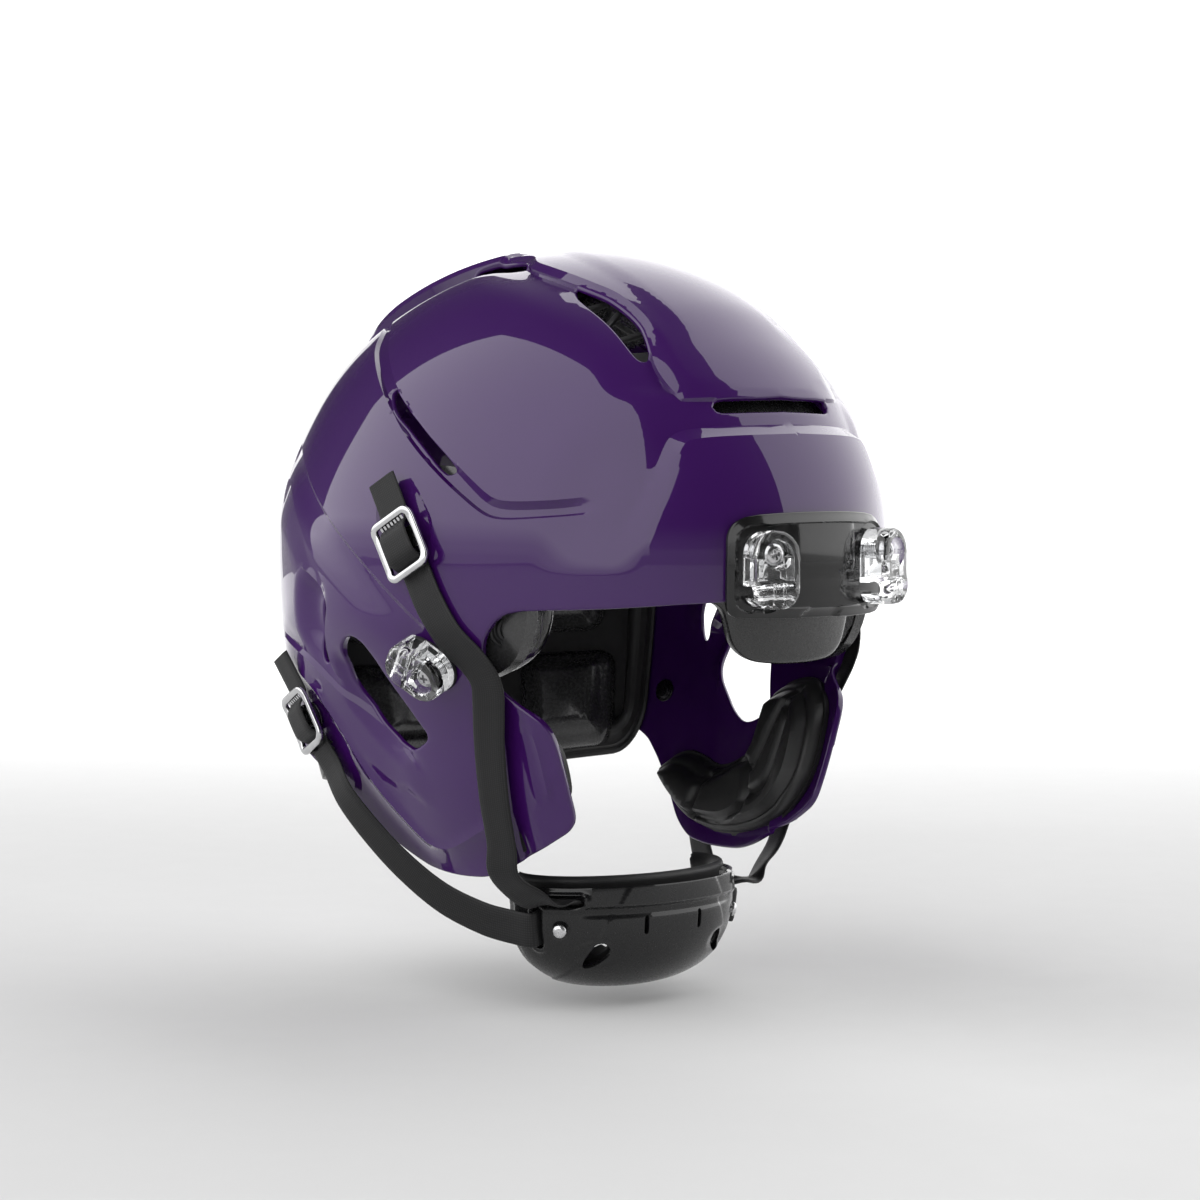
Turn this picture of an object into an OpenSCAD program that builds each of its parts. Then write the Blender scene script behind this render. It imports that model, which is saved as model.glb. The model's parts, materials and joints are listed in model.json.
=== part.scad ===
// Large adult football helmet: shell, brow bumper, faceguard clips, liner pads,
// four snap studs and a hard chin cup hung on four straps.
// Origin: centre of the dome at its widest level. +Z up, front is -Y, wearer's right is -X.

/* [Shell] */
// Half width of the dome
half_w = 120; // [112:1:128]
// Centre to brow
front_r = 155; // [145:1:163]
// Centre to back of head
rear_r = 145; // [136:1:153]
// Centre to crown
crown_r = 127.7; // [120:0.1:135]
// Wall thickness of the shell
wall = 4; // [3.5:0.1:4.4]
// Facets around the dome
dome_n = 84; // [60:4:92]

/* [Faceguard clips] */
// Length of a front clip
clip_l = 31; // [29:0.5:32]
// Length of a side clip
side_clip_l = 27; // [26:0.5:27.5]
// Width of a clip
clip_w = 20; // [19:0.5:20.5]
// Height of a clip off its seat
clip_h = 13; // [12:0.5:14]
// Radius of the faceguard bar that a clip holds
bar_r = 3; // [2.8:0.1:3.2]

/* [Chin strap] */
// Width of the webbing
strap_w = 15; // [14:0.5:15]
// Thickness of the webbing
strap_t = 1.6; // [1.4:0.1:1.8]
// Half width of the chin cup
cup_a = 57; // [54:1:60]
// Depth of the chin cup from its middle to its front
cup_b = 37; // [34:1:40]
// Wall of the chin cup
cup_wall = 3; // [2.6:0.1:3.2]

/* [Snaps] */
// Radius of a snap stud head
stud_r = 4; // [3.8:0.1:4.2]
// Radial clearance between stud and socket
snap_gap = 0.08; // [0.05:0.01:0.1]

/* [Hidden] */
low_r = 235;

purple = [0.22, 0.05, 0.36];
satin_black = [0.16, 0.16, 0.17];
pad_black = [0.13, 0.13, 0.14];
clear_c = [0.85, 0.87, 0.9, 0.4];
chrome_c = [0.8, 0.8, 0.82];
steel_c = [0.65, 0.65, 0.67];
web_c = [0.1, 0.1, 0.1];

// ---------- the dome as a surface ----------
// smooth step from 0 to 1
function sm(t) = let(c = max(0, min(1, t))) c * c * (3 - 2 * c);
// the jaw flaps draw in towards the jaw below the ears
function draw_in(y, z) = 1 - (1 - sm(y / 80)) * (0.13 * sm((-z - 25) / 60) + 0.09 * sm((-z - 70) / 80));
function fr(y, g) = (y < 0 ? front_r : rear_r) + g;
function cr(z, g) = (z > 0 ? crown_r : low_r) + g;
function dir(az, el) = [sin(az) * cos(el), -cos(az) * cos(el), sin(el)];
// point of the dome, grown by g, in direction azimuth az (0 front, 90 wearer's left) and elevation el
function dome_pt(az, el, g) =
    let(d = dir(az, el),
        r = 1 / sqrt(pow(d.x / (half_w + g), 2) + pow(d.y / fr(d.y, g), 2) + pow(d.z / cr(d.z, g), 2)),
        p = d * r)
    [p.x * draw_in(p.y, p.z), p.y, p.z];
// distance of the side wall from the middle plane at y, z
function side_x(y, z, g) = (half_w + g) * draw_in(y, z) * sqrt(max(0.01, 1 - pow(y / fr(y, g), 2) - pow(z / cr(z, g), 2)));
// distance of the front wall ahead of the origin at x, z
function front_y(x, z, g) = fr(-1, g) * sqrt(max(0.01, 1 - pow(x / (half_w + g), 2) - pow(z / cr(z, g), 2)));
function unit(v) = v / max(1e-6, norm(v));
// point at height g over the right side wall, and the way out of that wall
function wall_pt(y, z, g) = [-side_x(y, z, g), y, z];
function wall_n(y, z) = unit([-1, (side_x(y - 1, z, 0) - side_x(y + 1, z, 0)) / 2, (side_x(y, z - 1, 0) - side_x(y, z + 1, 0)) / 2]);

module left() mirror([1, 0, 0]) children();

// closed solid inside the dome surface grown by g
module dome_solid(g, na, ne, el_min = -80) {
    rings = [for (i = [1 : ne]) let(el = 90 - (90 - el_min) * i / ne) [for (j = [0 : na - 1]) dome_pt(360 * j / na, el, g)]];
    pts = concat([dome_pt(0, 90, g)], [for (r = rings) each r], [[0, 0, rings[ne - 1][0].z]]);
    last = len(pts) - 1;
    idx = function(i, j) 1 + i * na + (j % na);
    faces = concat(
        [for (j = [0 : na - 1]) [0, idx(0, j), idx(0, j + 1)]],
        [for (i = [0 : ne - 2]) for (j = [0 : na - 1]) each [[idx(i, j), idx(i + 1, j), idx(i + 1, j + 1)], [idx(i, j), idx(i + 1, j + 1), idx(i, j + 1)]]],
        [for (j = [0 : na - 1]) [idx(ne - 1, j + 1), idx(ne - 1, j), last]]);
    polyhedron(points = pts, faces = [for (f = faces) [f[0], f[2], f[1]]], convexity = 6);
}

// closed patch between two matching sets of rings; top and bottom are lists of rings, from the middle outwards
module patch(ct, top, cb, bot) {
    n = len(top[0]); m = len(top);
    pts = concat([ct], [for (r = top) each r], [cb], [for (r = bot) each r]);
    t = function(i, j) 1 + i * n + (j + n) % n;
    b = function(i, j) 2 + n * m + i * n + (j + n) % n;
    c2 = 1 + n * m;
    faces = concat(
        [for (j = [0 : n - 1]) [0, t(0, j), t(0, j + 1)]],
        [for (i = [0 : 1 : m - 2]) for (j = [0 : n - 1]) each [[t(i, j), t(i + 1, j), t(i + 1, j + 1)], [t(i, j), t(i + 1, j + 1), t(i, j + 1)]]],
        [for (j = [0 : n - 1]) [c2, b(0, j + 1), b(0, j)]],
        [for (i = [0 : 1 : m - 2]) for (j = [0 : n - 1]) each [[b(i, j), b(i + 1, j + 1), b(i + 1, j)], [b(i, j), b(i, j + 1), b(i + 1, j + 1)]]],
        [for (j = [0 : n - 1]) each [[t(m - 1, j), b(m - 1, j), b(m - 1, j + 1)], [t(m - 1, j), b(m - 1, j + 1), t(m - 1, j + 1)]]]);
    polyhedron(points = pts, faces = [for (f = faces) [f[0], f[2], f[1]]], convexity = 4);
}

function sgnpow(v, p) = (v < 0 ? -1 : 1) * pow(abs(v), p);
// rounded-rectangle pad lying on the dome between depths g1 (outer) and g2 (inner), crowned towards the head
module pad_on_dome(az0, el0, haz, hel, g1, g2, n = 28, m = 4, crown = 0.45) {
    ring = function(k, g) [for (j = [0 : n - 1]) let(t = 360 * j / n, s = k / m)
        dome_pt(az0 + haz * s * sgnpow(cos(t), 0.6), el0 + hel * s * sgnpow(sin(t), 0.6), g)];
    patch(dome_pt(az0, el0, g1), [for (k = [1 : m]) ring(k, g1)],
        dome_pt(az0, el0, g2), [for (k = [1 : m]) ring(k, g1 + (g2 - g1) * (1 - crown * pow(k / m, 4)))]);
}

// patch on the right side wall whose side view is the outline o around centre c
module pad_on_side(o, c, g1, g2, m = 3, crown = 0.5) {
    q = function(p, g) [-side_x(p[0], p[1], g), p[0], p[1]];
    ring = function(k, g) [for (p = o) q(c + (p - c) * k / m, g)];
    patch(q(c, g1), [for (k = [1 : m]) ring(k, g1)],
        q(c, g2), [for (k = [1 : m]) ring(k, g1 + (g2 - g1) * (1 - crown * pow(k / m, 4)))]);
}

// ---------- shell ----------
// side view (y, z) of what the shell covers
shell_side = [[-220, -18], [-147, -18.5], [-115, -21.5], [-92, -22.3], [-82, -24], [-75, -30], [-71, -38.5], [-69, -47],
    [-69, -56], [-76, -62], [-84, -67.5], [-87, -73], [-86.5, -91], [-85, -105], [-81, -111], [-75, -116.5], [-66, -123],
    [-52, -131], [-42, -135.5], [-25, -139], [-10, -139], [7, -136.5], [19, -130], [27, -123], [42, -110], [56, -98],
    [76, -89.5], [100, -89.5], [125, -93.5], [145, -96], [220, -96], [220, 220], [-220, 220]];
// ear window, side slot and rear slit, each as corner points (y, z) rounded by its radius
ear_window = [[22, -43], [17, -43], [-23, -78], [-9, -85], [-5, -84], [16, -71], [20, -57]];
rear_slit = [[38, -21], [34, -22], [41.5, -59], [44.5, -56], [45, -45], [43, -30]];
side_slot = [[-3, 67], [-27, 54.5], [-54, 35.5], [-53, 33], [-36, 43], [-7, 63.5]];

// opening through the side wall, rounded from its corner points
module side_cut(c, r) for (s = [-1, 1]) translate([s * 100, 0, 0]) rotate([90, 0, 90])
    hull() for (p = c) translate([p[0], p[1], -60]) cylinder(r = r, h = 120, $fn = 12);

module shell() color(purple) difference() {
    intersection() {
        difference() {
            dome_solid(0, dome_n, 34);
            dome_solid(-wall, 60, 24);
        }
        rotate([90, 0, 90]) translate([0, 0, -160]) linear_extrude(320) polygon(shell_side);
    }
    side_cut(ear_window, 2);
    side_cut(rear_slit, 1);
    side_cut(side_slot, 1);
    // slots beside the crown ridge
    for (s = [-1, 1]) {
        translate([s * 45, 0, 60]) hull() for (y = [-90, -52]) translate([0, y, 0]) cylinder(r = 3, h = 90, $fn = 16);
        translate([s * 43, 0, 60]) hull() for (y = [-8, 22]) translate([0, y, 0]) cylinder(r = 3, h = 90, $fn = 16);
    }
    // slot above the brow panel
    hull() for (x = [-30, 30]) translate([x, 0, 58]) rotate([90, 0, 0]) cylinder(r = 1.8, h = 180, $fn = 12);
    // clip screw holes and stud seats
    for (s = [-1, 1]) scale([-s, 1, 1]) {
        on_front_clip() translate([0, front_screw_y, -30]) hull() cylinder(r = 3.2, h = 40, $fn = 24);
        on_side_clip() translate([0, side_screw_y, -30]) hull() cylinder(r = 3.2, h = 40, $fn = 24);
        on_upper_snap() { hull() cylinder(r = 8.5, h = 20, $fn = 32); translate([0, 0, -20]) hull() cylinder(r = 2.2, h = 30, $fn = 24); }
        on_lower_snap() { hull() cylinder(r = 8.5, h = 20, $fn = 32); translate([0, 0, -20]) hull() cylinder(r = 2.2, h = 30, $fn = 24); }
    }
}

// ---------- seats for the parts on the wall (right side; z out of the wall, y along the part) ----------
front_clip_x = 29;
front_clip_z = -5.5;
bumper_t = 5.5;
front_tilt = atan2((front_clip_x / pow(half_w + bumper_t, 2)), front_y(front_clip_x, front_clip_z, bumper_t) / pow(front_r + bumper_t, 2));
module on_front_clip() translate([-front_clip_x, -front_y(front_clip_x, front_clip_z, bumper_t) - 0.3, front_clip_z])
    rotate([0, 0, -front_tilt]) rotate([90, 0, 0]) children();
front_screw_y = 6;

// local z to n, local y turned by t from level (0 forward, 90 up)
module on_wall(y, z, g, t) {
    n = wall_n(y, z);
    translate(wall_pt(y, z, 0) + n * g) rotate([0, acos(n.z), atan2(n.y, n.x)]) rotate([0, 0, t]) children();
}
function on_dir(n, t, v) = let(b = acos(n.z), c = atan2(n.y, n.x),
    x = [cos(b) * cos(c), cos(b) * sin(c), -sin(b)], y = [-sin(c), cos(c), 0])
    (x * cos(t) + y * sin(t)) * v.x + (y * cos(t) - x * sin(t)) * v.y + n * v.z;
side_clip_at = [-43, -45];
side_clip_turn = -26;
module on_side_clip() on_wall(side_clip_at[0], side_clip_at[1], 0, side_clip_turn) children();
side_screw_y = 4.5;
// the snap seats are flats sunk into the wall
seat = 1.2;
up_at = [-38, 3];
lo_at = [52, -74];
up_turn = 119;
lo_turn = 66;
module on_upper_snap() on_wall(up_at[0], up_at[1], -seat, up_turn) children();
module on_lower_snap() on_wall(lo_at[0], lo_at[1], -seat, 180 - lo_turn) children();

// ---------- brow bumper ----------
module front_bumper() color(satin_black) difference() {
    union() {
        o = [[-41, -20], [-41, 7], [-38, 12.5], [-32, 15.5], [-16, 16.4], [0, 16.6], [16, 16.4], [32, 15.5], [38, 12.5], [41, 7],
            [41, -20], [38, -25], [20, -25.5], [0, -25.5], [-20, -25.5], [-38, -25]];
        c = [0, -4.5];
        q = function(p, g) [p[0], -front_y(p[0], p[1], g), p[1]];
        ring = function(k, g) [for (p = o) q(c + (p - c) * k / 4, g)];
        patch(q(c, bumper_t), [for (k = [1 : 4]) ring(k, k < 4 ? bumper_t : bumper_t - 1.5)], q(c, 0.3), [for (k = [1 : 4]) ring(k, 0.3)]);
    }
    for (s = [-1, 1]) scale([-s, 1, 1]) on_front_clip() translate([0, front_screw_y, -30]) cylinder(r = 3.1, h = 60);
}

// ---------- faceguard clips ----------
// Block with an arched end and a round end, lying on z = 0, long axis along y.
// A funnel over the screw at sy, and a round channel across it for the bar.
bar_y = 9.3;
bar_z = 6.2;
module clip(len, sy, ch) {
    r = clip_w / 2 - 1.5;
    difference() {
        union() {
            linear_extrude(ch) union() {
                translate([0, len / 2 - r]) circle(r = r);
                translate([-r, -len / 2 + 5]) square([2 * r, len - r - 5]);
                translate([0, -len / 2 + r]) circle(r = r);
            }
            // foot flange
            linear_extrude(3.2) union() {
                translate([0, len / 2 - clip_w / 2]) circle(r = clip_w / 2);
                translate([-clip_w / 2, -len / 2 + clip_w / 2]) square([clip_w, len - clip_w]);
                translate([0, -len / 2 + clip_w / 2]) circle(r = clip_w / 2);
            }
            // cheeks round the bar channel
            translate([-clip_w / 2, -len / 2 + 1.2, 0]) cube([clip_w, 10.6, ch - 1.8]);
        }
        // funnel over the screw head
        translate([0, sy, 5]) cylinder(r = 5.4, h = ch);
        translate([0, sy, -1]) cylinder(r = 2.8, h = ch);
        // bar channel and its mouth to the seat
        translate([-clip_w, -len / 2 + bar_y - 2.6, bar_z]) rotate([0, 90, 0]) cylinder(r = bar_r, h = 2 * clip_w);
        translate([-clip_w, -len / 2 + bar_y - 2.6 - bar_r * 0.8, -1]) cube([2 * clip_w, bar_r * 1.6, bar_z + 1]);
    }
}
module front_clip_r() on_front_clip() clip(clip_l, front_screw_y, clip_h);
module side_clip_r() on_side_clip() translate([0, 0, 2]) clip(side_clip_l, side_screw_y, clip_h);
module front_clip_right() color(clear_c) front_clip_r();
module front_clip_left() color(clear_c) left() front_clip_r();
module side_clip_right() color(clear_c) side_clip_r();
module side_clip_left() color(clear_c) left() side_clip_r();

// screw along z: head from z = 5.1 outwards, shank down to its nut
module clip_screw(grip) difference() {
    union() {
        translate([0, 0, 5.1]) rotate_extrude() polygon([[0, 0], [4.6, 0], [4.6, 1.2], [3.2, 3.2], [0, 3.4]]);
        translate([0, 0, -grip]) cylinder(r = 2.4, h = grip + 5.2);
    }
    // cross recess
    for (a = [0, 90]) rotate([0, 0, a]) translate([-2.4, -0.5, 6.9]) cube([4.8, 1, 4]);
}
module clip_screws() color(steel_c) for (s = [0, 1]) mirror([s, 0, 0]) {
    on_front_clip() translate([0, front_screw_y, 0]) clip_screw(12.6);
    on_side_clip() translate([0, side_screw_y, 2]) clip_screw(8.8);
}
// flanged barrel nut on the inside of the wall, its flange at z = -d
module clip_nut(d) difference() {
    union() {
        translate([0, 0, -d - 1.2]) cylinder(r = 5.5, h = 1.2);
        translate([0, 0, -d - 2.6]) cylinder(r = 3.8, h = 1.5);
    }
    translate([0, 0, -d - 6]) cylinder(r = 2.45, h = 10);
}
module clip_nuts() color(steel_c) for (s = [0, 1]) mirror([s, 0, 0]) {
    on_front_clip() translate([0, front_screw_y, 0]) clip_nut(10.6);
    on_side_clip() translate([0, side_screw_y, 0]) clip_nut(4.7);
}
module side_clip_gasket() on_side_clip() difference() {
    translate([0, 0, 0.15]) linear_extrude(1.75) union() {
        translate([0, side_clip_l / 2 - 10]) circle(r = 10);
        translate([0, -side_clip_l / 2 + 10]) circle(r = 10);
        translate([-10, -side_clip_l / 2 + 10]) square([20, side_clip_l - 20]);
    }
    translate([0, side_screw_y, -1]) cylinder(r = 2.8, h = 5);
}
module side_clip_gaskets() color(satin_black) { side_clip_gasket(); left() side_clip_gasket(); }

// ---------- snap studs, sockets and buckles (z out of the wall) ----------
module stud() rotate_extrude() polygon([[0, -5.2], [1.9, -5.2], [1.9, 0.1], [6.4, 0.1], [6.4, 0.9], [2.9, 0.9], [2.9, 1.8], [stud_r, 2.1], [stud_r, 3.7], [stud_r - 0.7, 4.3], [0, 4.3]]);
module stud_nut(d) difference() {
    union() {
        translate([0, 0, -d - 0.8]) cylinder(r = 5.2, h = 0.8);
        translate([0, 0, -d - 2.2]) cylinder(r = 3.6, h = 1.5, $fn = 6);
    }
    translate([0, 0, -d - 5]) cylinder(r = 1.95, h = 8);
}
module snap_studs() color(steel_c) for (s = [0, 1]) mirror([s, 0, 0]) { on_upper_snap() stud(); on_lower_snap() stud(); }
module snap_nuts() color(steel_c) for (s = [0, 1]) mirror([s, 0, 0]) { on_upper_snap() stud_nut(3.25); on_lower_snap() stud_nut(3.25); }

// cup that snaps over the stud, with a neck and cap for the buckle plate
module socket() difference() {
    union() {
        translate([0, 0, 1.3]) cylinder(r = 6.4, h = 3.9);
        translate([0, 0, 5.1]) cylinder(r = 3, h = 1.8);
        translate([0, 0, 6.75]) cylinder(r = 4.1, h = 0.55);
    }
    translate([0, 0, 0]) cylinder(r = stud_r + snap_gap, h = 4.6);
}
module snap_socket_upper_right() color(steel_c) on_upper_snap() socket();
module snap_socket_upper_left() color(steel_c) left() on_upper_snap() socket();
module snap_socket_lower_right() color(steel_c) on_lower_snap() socket();
module snap_socket_lower_left() color(steel_c) left() on_lower_snap() socket();

// rounded rectangle drawn from squares and circles
module rrect(w, l, r) union() {
    square([w - 2 * r, l], center = true);
    square([w, l - 2 * r], center = true);
    for (x = [-1, 1], y = [-1, 1]) translate([x * (w / 2 - r), y * (l / 2 - r)]) circle(r = r);
}
buckle_w = 24;
buckle_l = 27;
// open frame with a middle plate that turns on the socket's neck, and a toothed bar that bites the webbing
module buckle() difference() {
    union() {
        translate([0, 0, 4.7]) linear_extrude(2.9) difference() {
            rrect(buckle_w, buckle_l, 2.6);
            square([strap_w + 2.4, buckle_l - 5.8], center = true);
        }
        translate([-buckle_w / 2 + 2, -4.8, 5.35]) cube([buckle_w - 4, 9.6, 1.2]);
        for (i = [0 : 6]) translate([-6.5 + 2 * i, buckle_l / 2 - 2.9, 4.5]) cube([1, 1.6, 0.5]);
    }
    translate([0, 0, 0]) cylinder(r = 3.06, h = 12);
}
module buckle_upper_right() color(chrome_c) on_upper_snap() buckle();
module buckle_upper_left() color(chrome_c) left() on_upper_snap() buckle();
module buckle_lower_right() color(chrome_c) on_lower_snap() buckle();
module buckle_lower_left() color(chrome_c) left() on_lower_snap() buckle();

// ---------- liner ----------
module crown_liner() color(satin_black) {
    n = 40; m = 9;
    ring = function(k, g) [for (j = [0 : n - 1]) dome_pt(360 * j / n, 90 - 52 * k / m, g)];
    patch(dome_pt(0, 90, -5.2), [for (k = [1 : m]) ring(k, -5.2)], dome_pt(0, 90, -11), [for (k = [1 : m]) ring(k, -11)]);
}
module crown_pad() color(pad_black) {
    n = 32; m = 5;
    ring = function(k, g) [for (j = [0 : n - 1]) dome_pt(360 * j / n, 90 - 46 * k / m, g)];
    patch(dome_pt(0, 90, -11.6), [for (k = [1 : m]) ring(k, -11.6)],
        dome_pt(0, 90, -24), [for (k = [1 : m]) ring(k, -11.6 - 12.4 * (1 - 0.5 * pow(k / m, 4)))]);
}
// brow pad as seen from the front (x, z): a band behind the brow with a tongue down the middle
front_half = [[10, -44.5], [23, -43], [30, -37], [32, -28], [35, -20], [48, -17], [60, -13], [66, 0], [64, 18], [54, 34], [34, 44], [12, 48]];
front_o = concat(front_half, [for (i = [11 : -1 : 0]) [-front_half[i][0], front_half[i][1]]]);
module front_pad() color(pad_black) {
    c = [0, 4];
    q = function(p, g) [p[0], -front_y(p[0], p[1], g), p[1]];
    ring = function(k, g) [for (p = front_o) q(c + (p - c) * k / 4, g)];
    patch(q(c, -8.2), [for (k = [1 : 4]) ring(k, -8.2)], q(c, -25), [for (k = [1 : 4]) ring(k, -8.2 - 16.8 * (1 - 0.45 * pow(k / 4, 4)))]);
}
side_pad_o = [[8, 24], [8, -24], [2, -37], [-12, -47], [-28, -52], [-48, -53.5], [-66, -51], [-79, -44], [-86, -33], [-88, -20],
    [-88, 4], [-80, 24], [-60, 34], [-20, 36]];
module side_pad_right() color(pad_black) pad_on_side(side_pad_o, [-40, -8], -8.2, -25);
module side_pad_left() color(pad_black) left() pad_on_side(side_pad_o, [-40, -8], -8.2, -25);
module rear_carrier() color(satin_black) pad_on_dome(180, -21.5, 57, 20.5, -5.2, -9, 40, 5, 0);
module rear_pad() color(pad_black) pad_on_dome(180, -10, 52, 7.6, -10.6, -25, 40, 4);
module nape_pad() color(pad_black) pad_on_dome(180, -30, 48, 9.6, -10.6, -27, 40, 4);
jaw_o = [[-30, -66], [-45, -60], [-62, -60.5], [-74, -68], [-79, -76], [-80, -90], [-78, -104], [-66, -117], [-50, -127],
    [-25, -133], [0, -131], [18, -124.5], [36, -113], [41, -106], [28, -98], [12, -99], [-2, -104], [-16, -98], [-27, -90], [-29, -78]];
module jaw_pad_right() color(pad_black) pad_on_side(jaw_o, [-48, -117], -5, -22, 4, 0.6);
module jaw_pad_left() color(pad_black) left() pad_on_side(jaw_o, [-48, -117], -5, -22, 4, 0.6);

// ---------- chin cup ----------
cup_c = [0, -32, -150];
cup_h = 39;
// point of the cup bowl: turn u from the front, dip v below the rim
function cup_pt(u, v, g) = cup_c + [(cup_a + g) * sin(u) * cos(v), -(cup_b + g) * cos(u) * cos(v), -(cup_h + g) * sin(v)];
module bowl(g1, g2, u_end, v0, v1, n, m) {
    pt = function(i, j, g) cup_pt(-u_end + 2 * u_end * i / n, v0 + (v1 - v0) * j / m, g);
    pts = concat([for (i = [0 : n]) for (j = [0 : m]) pt(i, j, g1)], [for (i = [0 : n]) for (j = [0 : m]) pt(i, j, g2)]);
    a = function(i, j) i * (m + 1) + j;
    b = function(i, j) (n + 1) * (m + 1) + a(i, j);
    faces = concat(
        [for (i = [0 : n - 1]) for (j = [0 : m - 1]) each [[a(i, j), a(i, j + 1), a(i + 1, j + 1)], [a(i, j), a(i + 1, j + 1), a(i + 1, j)]]],
        [for (i = [0 : n - 1]) for (j = [0 : m - 1]) each [[b(i, j), b(i + 1, j + 1), b(i, j + 1)], [b(i, j), b(i + 1, j), b(i + 1, j + 1)]]],
        [for (i = [0 : n - 1]) each [[a(i, 0), a(i + 1, 0), b(i + 1, 0)], [a(i, 0), b(i + 1, 0), b(i, 0)]]],
        [for (i = [0 : n - 1]) each [[a(i + 1, m), a(i, m), b(i, m)], [a(i + 1, m), b(i, m), b(i + 1, m)]]],
        [for (j = [0 : m - 1]) each [[a(0, j + 1), a(0, j), b(0, j)], [a(0, j + 1), b(0, j), b(0, j + 1)]]],
        [for (j = [0 : m - 1]) each [[a(n, j), a(n, j + 1), b(n, j + 1)], [a(n, j), b(n, j + 1), b(n, j)]]]);
    polyhedron(points = pts, faces = [for (f = faces) [f[0], f[2], f[1]]], convexity = 6);
}
// frame on the bowl at u, v: local x round the bowl, local z out of it
module on_cup(u, v, g) {
    x = unit(cup_pt(u + 1, v, 0) - cup_pt(u - 1, v, 0));
    d = unit(cup_pt(u, v + 1, 0) - cup_pt(u, v - 1, 0));
    z = unit(cross(d, x));
    p = cup_pt(u, v, 0) + z * g;
    y = cross(z, x);
    multmatrix([[x.x, y.x, z.x, p.x], [x.y, y.y, z.y, p.y], [x.z, y.z, z.z, p.z]]) children();
}
// webbing slots and rivets: turn and dip on the bowl
up_slot = [-57, -3.5];
lo_slot = [-73, 13];
rivet_at = [-59, 14];
module web_slot(at, turn) on_cup(at[0], at[1], 0) rotate([0, 0, turn]) hull() for (x = [-1, 1]) translate([x * (strap_w / 2 - 0.2), 0, -7])
    cylinder(r = 2, h = 14, $fn = 16);
module chin_cup_shell() color(satin_black) difference() {
    bowl(0, -cup_wall, 100, -10, 84, 30, 9);
    for (s = [-1, 1]) scale([-s, 1, 1]) {
        web_slot(up_slot, 0);
        web_slot(lo_slot, 90);
        // vent
        on_cup(-38, 29, 0) hull() { cylinder(r = 4, h = 20, center = true, $fn = 16); translate([-9, 1, 0]) cylinder(r = 1.4, h = 20, center = true, $fn = 12); }
        on_cup(rivet_at[0], rivet_at[1], 0) cylinder(r = 1.7, h = 12, center = true, $fn = 16);
    }
    // front slits under the lip
    for (x = [-15, 15]) on_cup(x, 10, 0) hull() for (y = [-3, 3]) translate([0, y, 0]) cylinder(r = 1.2, h = 12, center = true, $fn = 12);
}
module chin_cup_liner() color(pad_black) bowl(-cup_wall - 3.3, -cup_wall - 8.8, 104, -21, 84, 26, 8);
module rivet() rotate_extrude() polygon([[0, -3], [1.6, -3], [1.6, 0.15], [3, 0.15], [2.6, 1.2], [1.4, 1.6], [0, 1.6]]);
module chin_cup_rivets() color(steel_c) for (s = [0, 1]) mirror([s, 0, 0]) on_cup(rivet_at[0], rivet_at[1], 0) rivet();

// ---------- straps ----------
// the webbing's way through a buckle: [along, out of the seat]
threaded = [[30, 2.2], [21, 2.4], [13.6, 2.7], [10.4, 3.3], [7.7, 6.2], [5.2, 8.3], [0, 8.7], [-5.2, 8.3], [-7.7, 6.2], [-10.4, 3.3], [-13.6, 2.7]];
function threaded_pts(at, t) = let(n = wall_n(at[0], at[1])) [for (q = threaded) wall_pt(at[0], at[1], 0) - n * seat + on_dir(n, t, [0, q[0], q[1]])];
// a point past the buckle: q along the webbing, h out of the seat
function out_pt(at, t, q, h) = let(n = wall_n(at[0], at[1])) wall_pt(at[0], at[1], 0) - n * seat + on_dir(n, t, [0, q, h]);
function threaded_w(at, t) = let(w = on_dir(wall_n(at[0], at[1]), t, [1, 0, 0])) [for (q = threaded) w];
// points lying h off the wall, and the width of the webbing there
function run_pts(r, h) = [for (q = r) wall_pt(q[0], q[1], 0) + wall_n(q[0], q[1]) * h];
function run_w(r, h, w0) = let(p = run_pts(r, h), m = len(p)) [for (i = [0 : m - 1])
    let(w = unit(cross(wall_n(r[i][0], r[i][1]), p[min(m - 1, i + 1)] - p[max(0, i - 1)]))) w * (w * w0 < 0 ? -1 : 1)];
// smooth curve through control points
function cat(a, b, c, d, t) = 0.5 * (2 * b + (c - a) * t + (2 * a - 5 * b + 4 * c - d) * t * t + (3 * b - a - 3 * c + d) * t * t * t);
function smooth_run(p, k) = let(n = len(p)) concat([for (i = [0 : n - 2]) for (s = [0 : k - 1])
    cat(p[max(0, i - 1)], p[i], p[i + 1], p[min(n - 1, i + 2)], s / k)], [p[n - 1]]);
// flat webbing along points p with width directions w
module webbing(p, w, k = 3) {
    q = smooth_run(p, k); b0 = smooth_run(w, k); n = len(q);
    sec = [for (i = [0 : n - 1]) let(t = unit(q[min(n - 1, i + 1)] - q[max(0, i - 1)]), b = unit(b0[i] - t * (b0[i] * t)), m = cross(t, b))
        for (c = [[-1, -1], [1, -1], [1, 1], [-1, 1]]) q[i] + b * c[0] * strap_w / 2 + m * c[1] * strap_t / 2];
    faces = concat([[0, 1, 2, 3]], [for (i = [0 : n - 2]) for (c = [0 : 3]) let(d = (c + 1) % 4) each
        [[4 * i + c, 4 * (i + 1) + c, 4 * (i + 1) + d], [4 * i + c, 4 * (i + 1) + d, 4 * i + d]]],
        [[4 * n - 1, 4 * n - 2, 4 * n - 3, 4 * n - 4]]);
    polyhedron(points = sec, faces = faces, convexity = 8);
}
up_run = [[-50, -20.5], [-57.6, -33], [-66, -43.5], [-68.2, -52], [-65, -62], [-60.5, -74], [-57, -88], [-53.5, -104], [-50, -121]];
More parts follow.
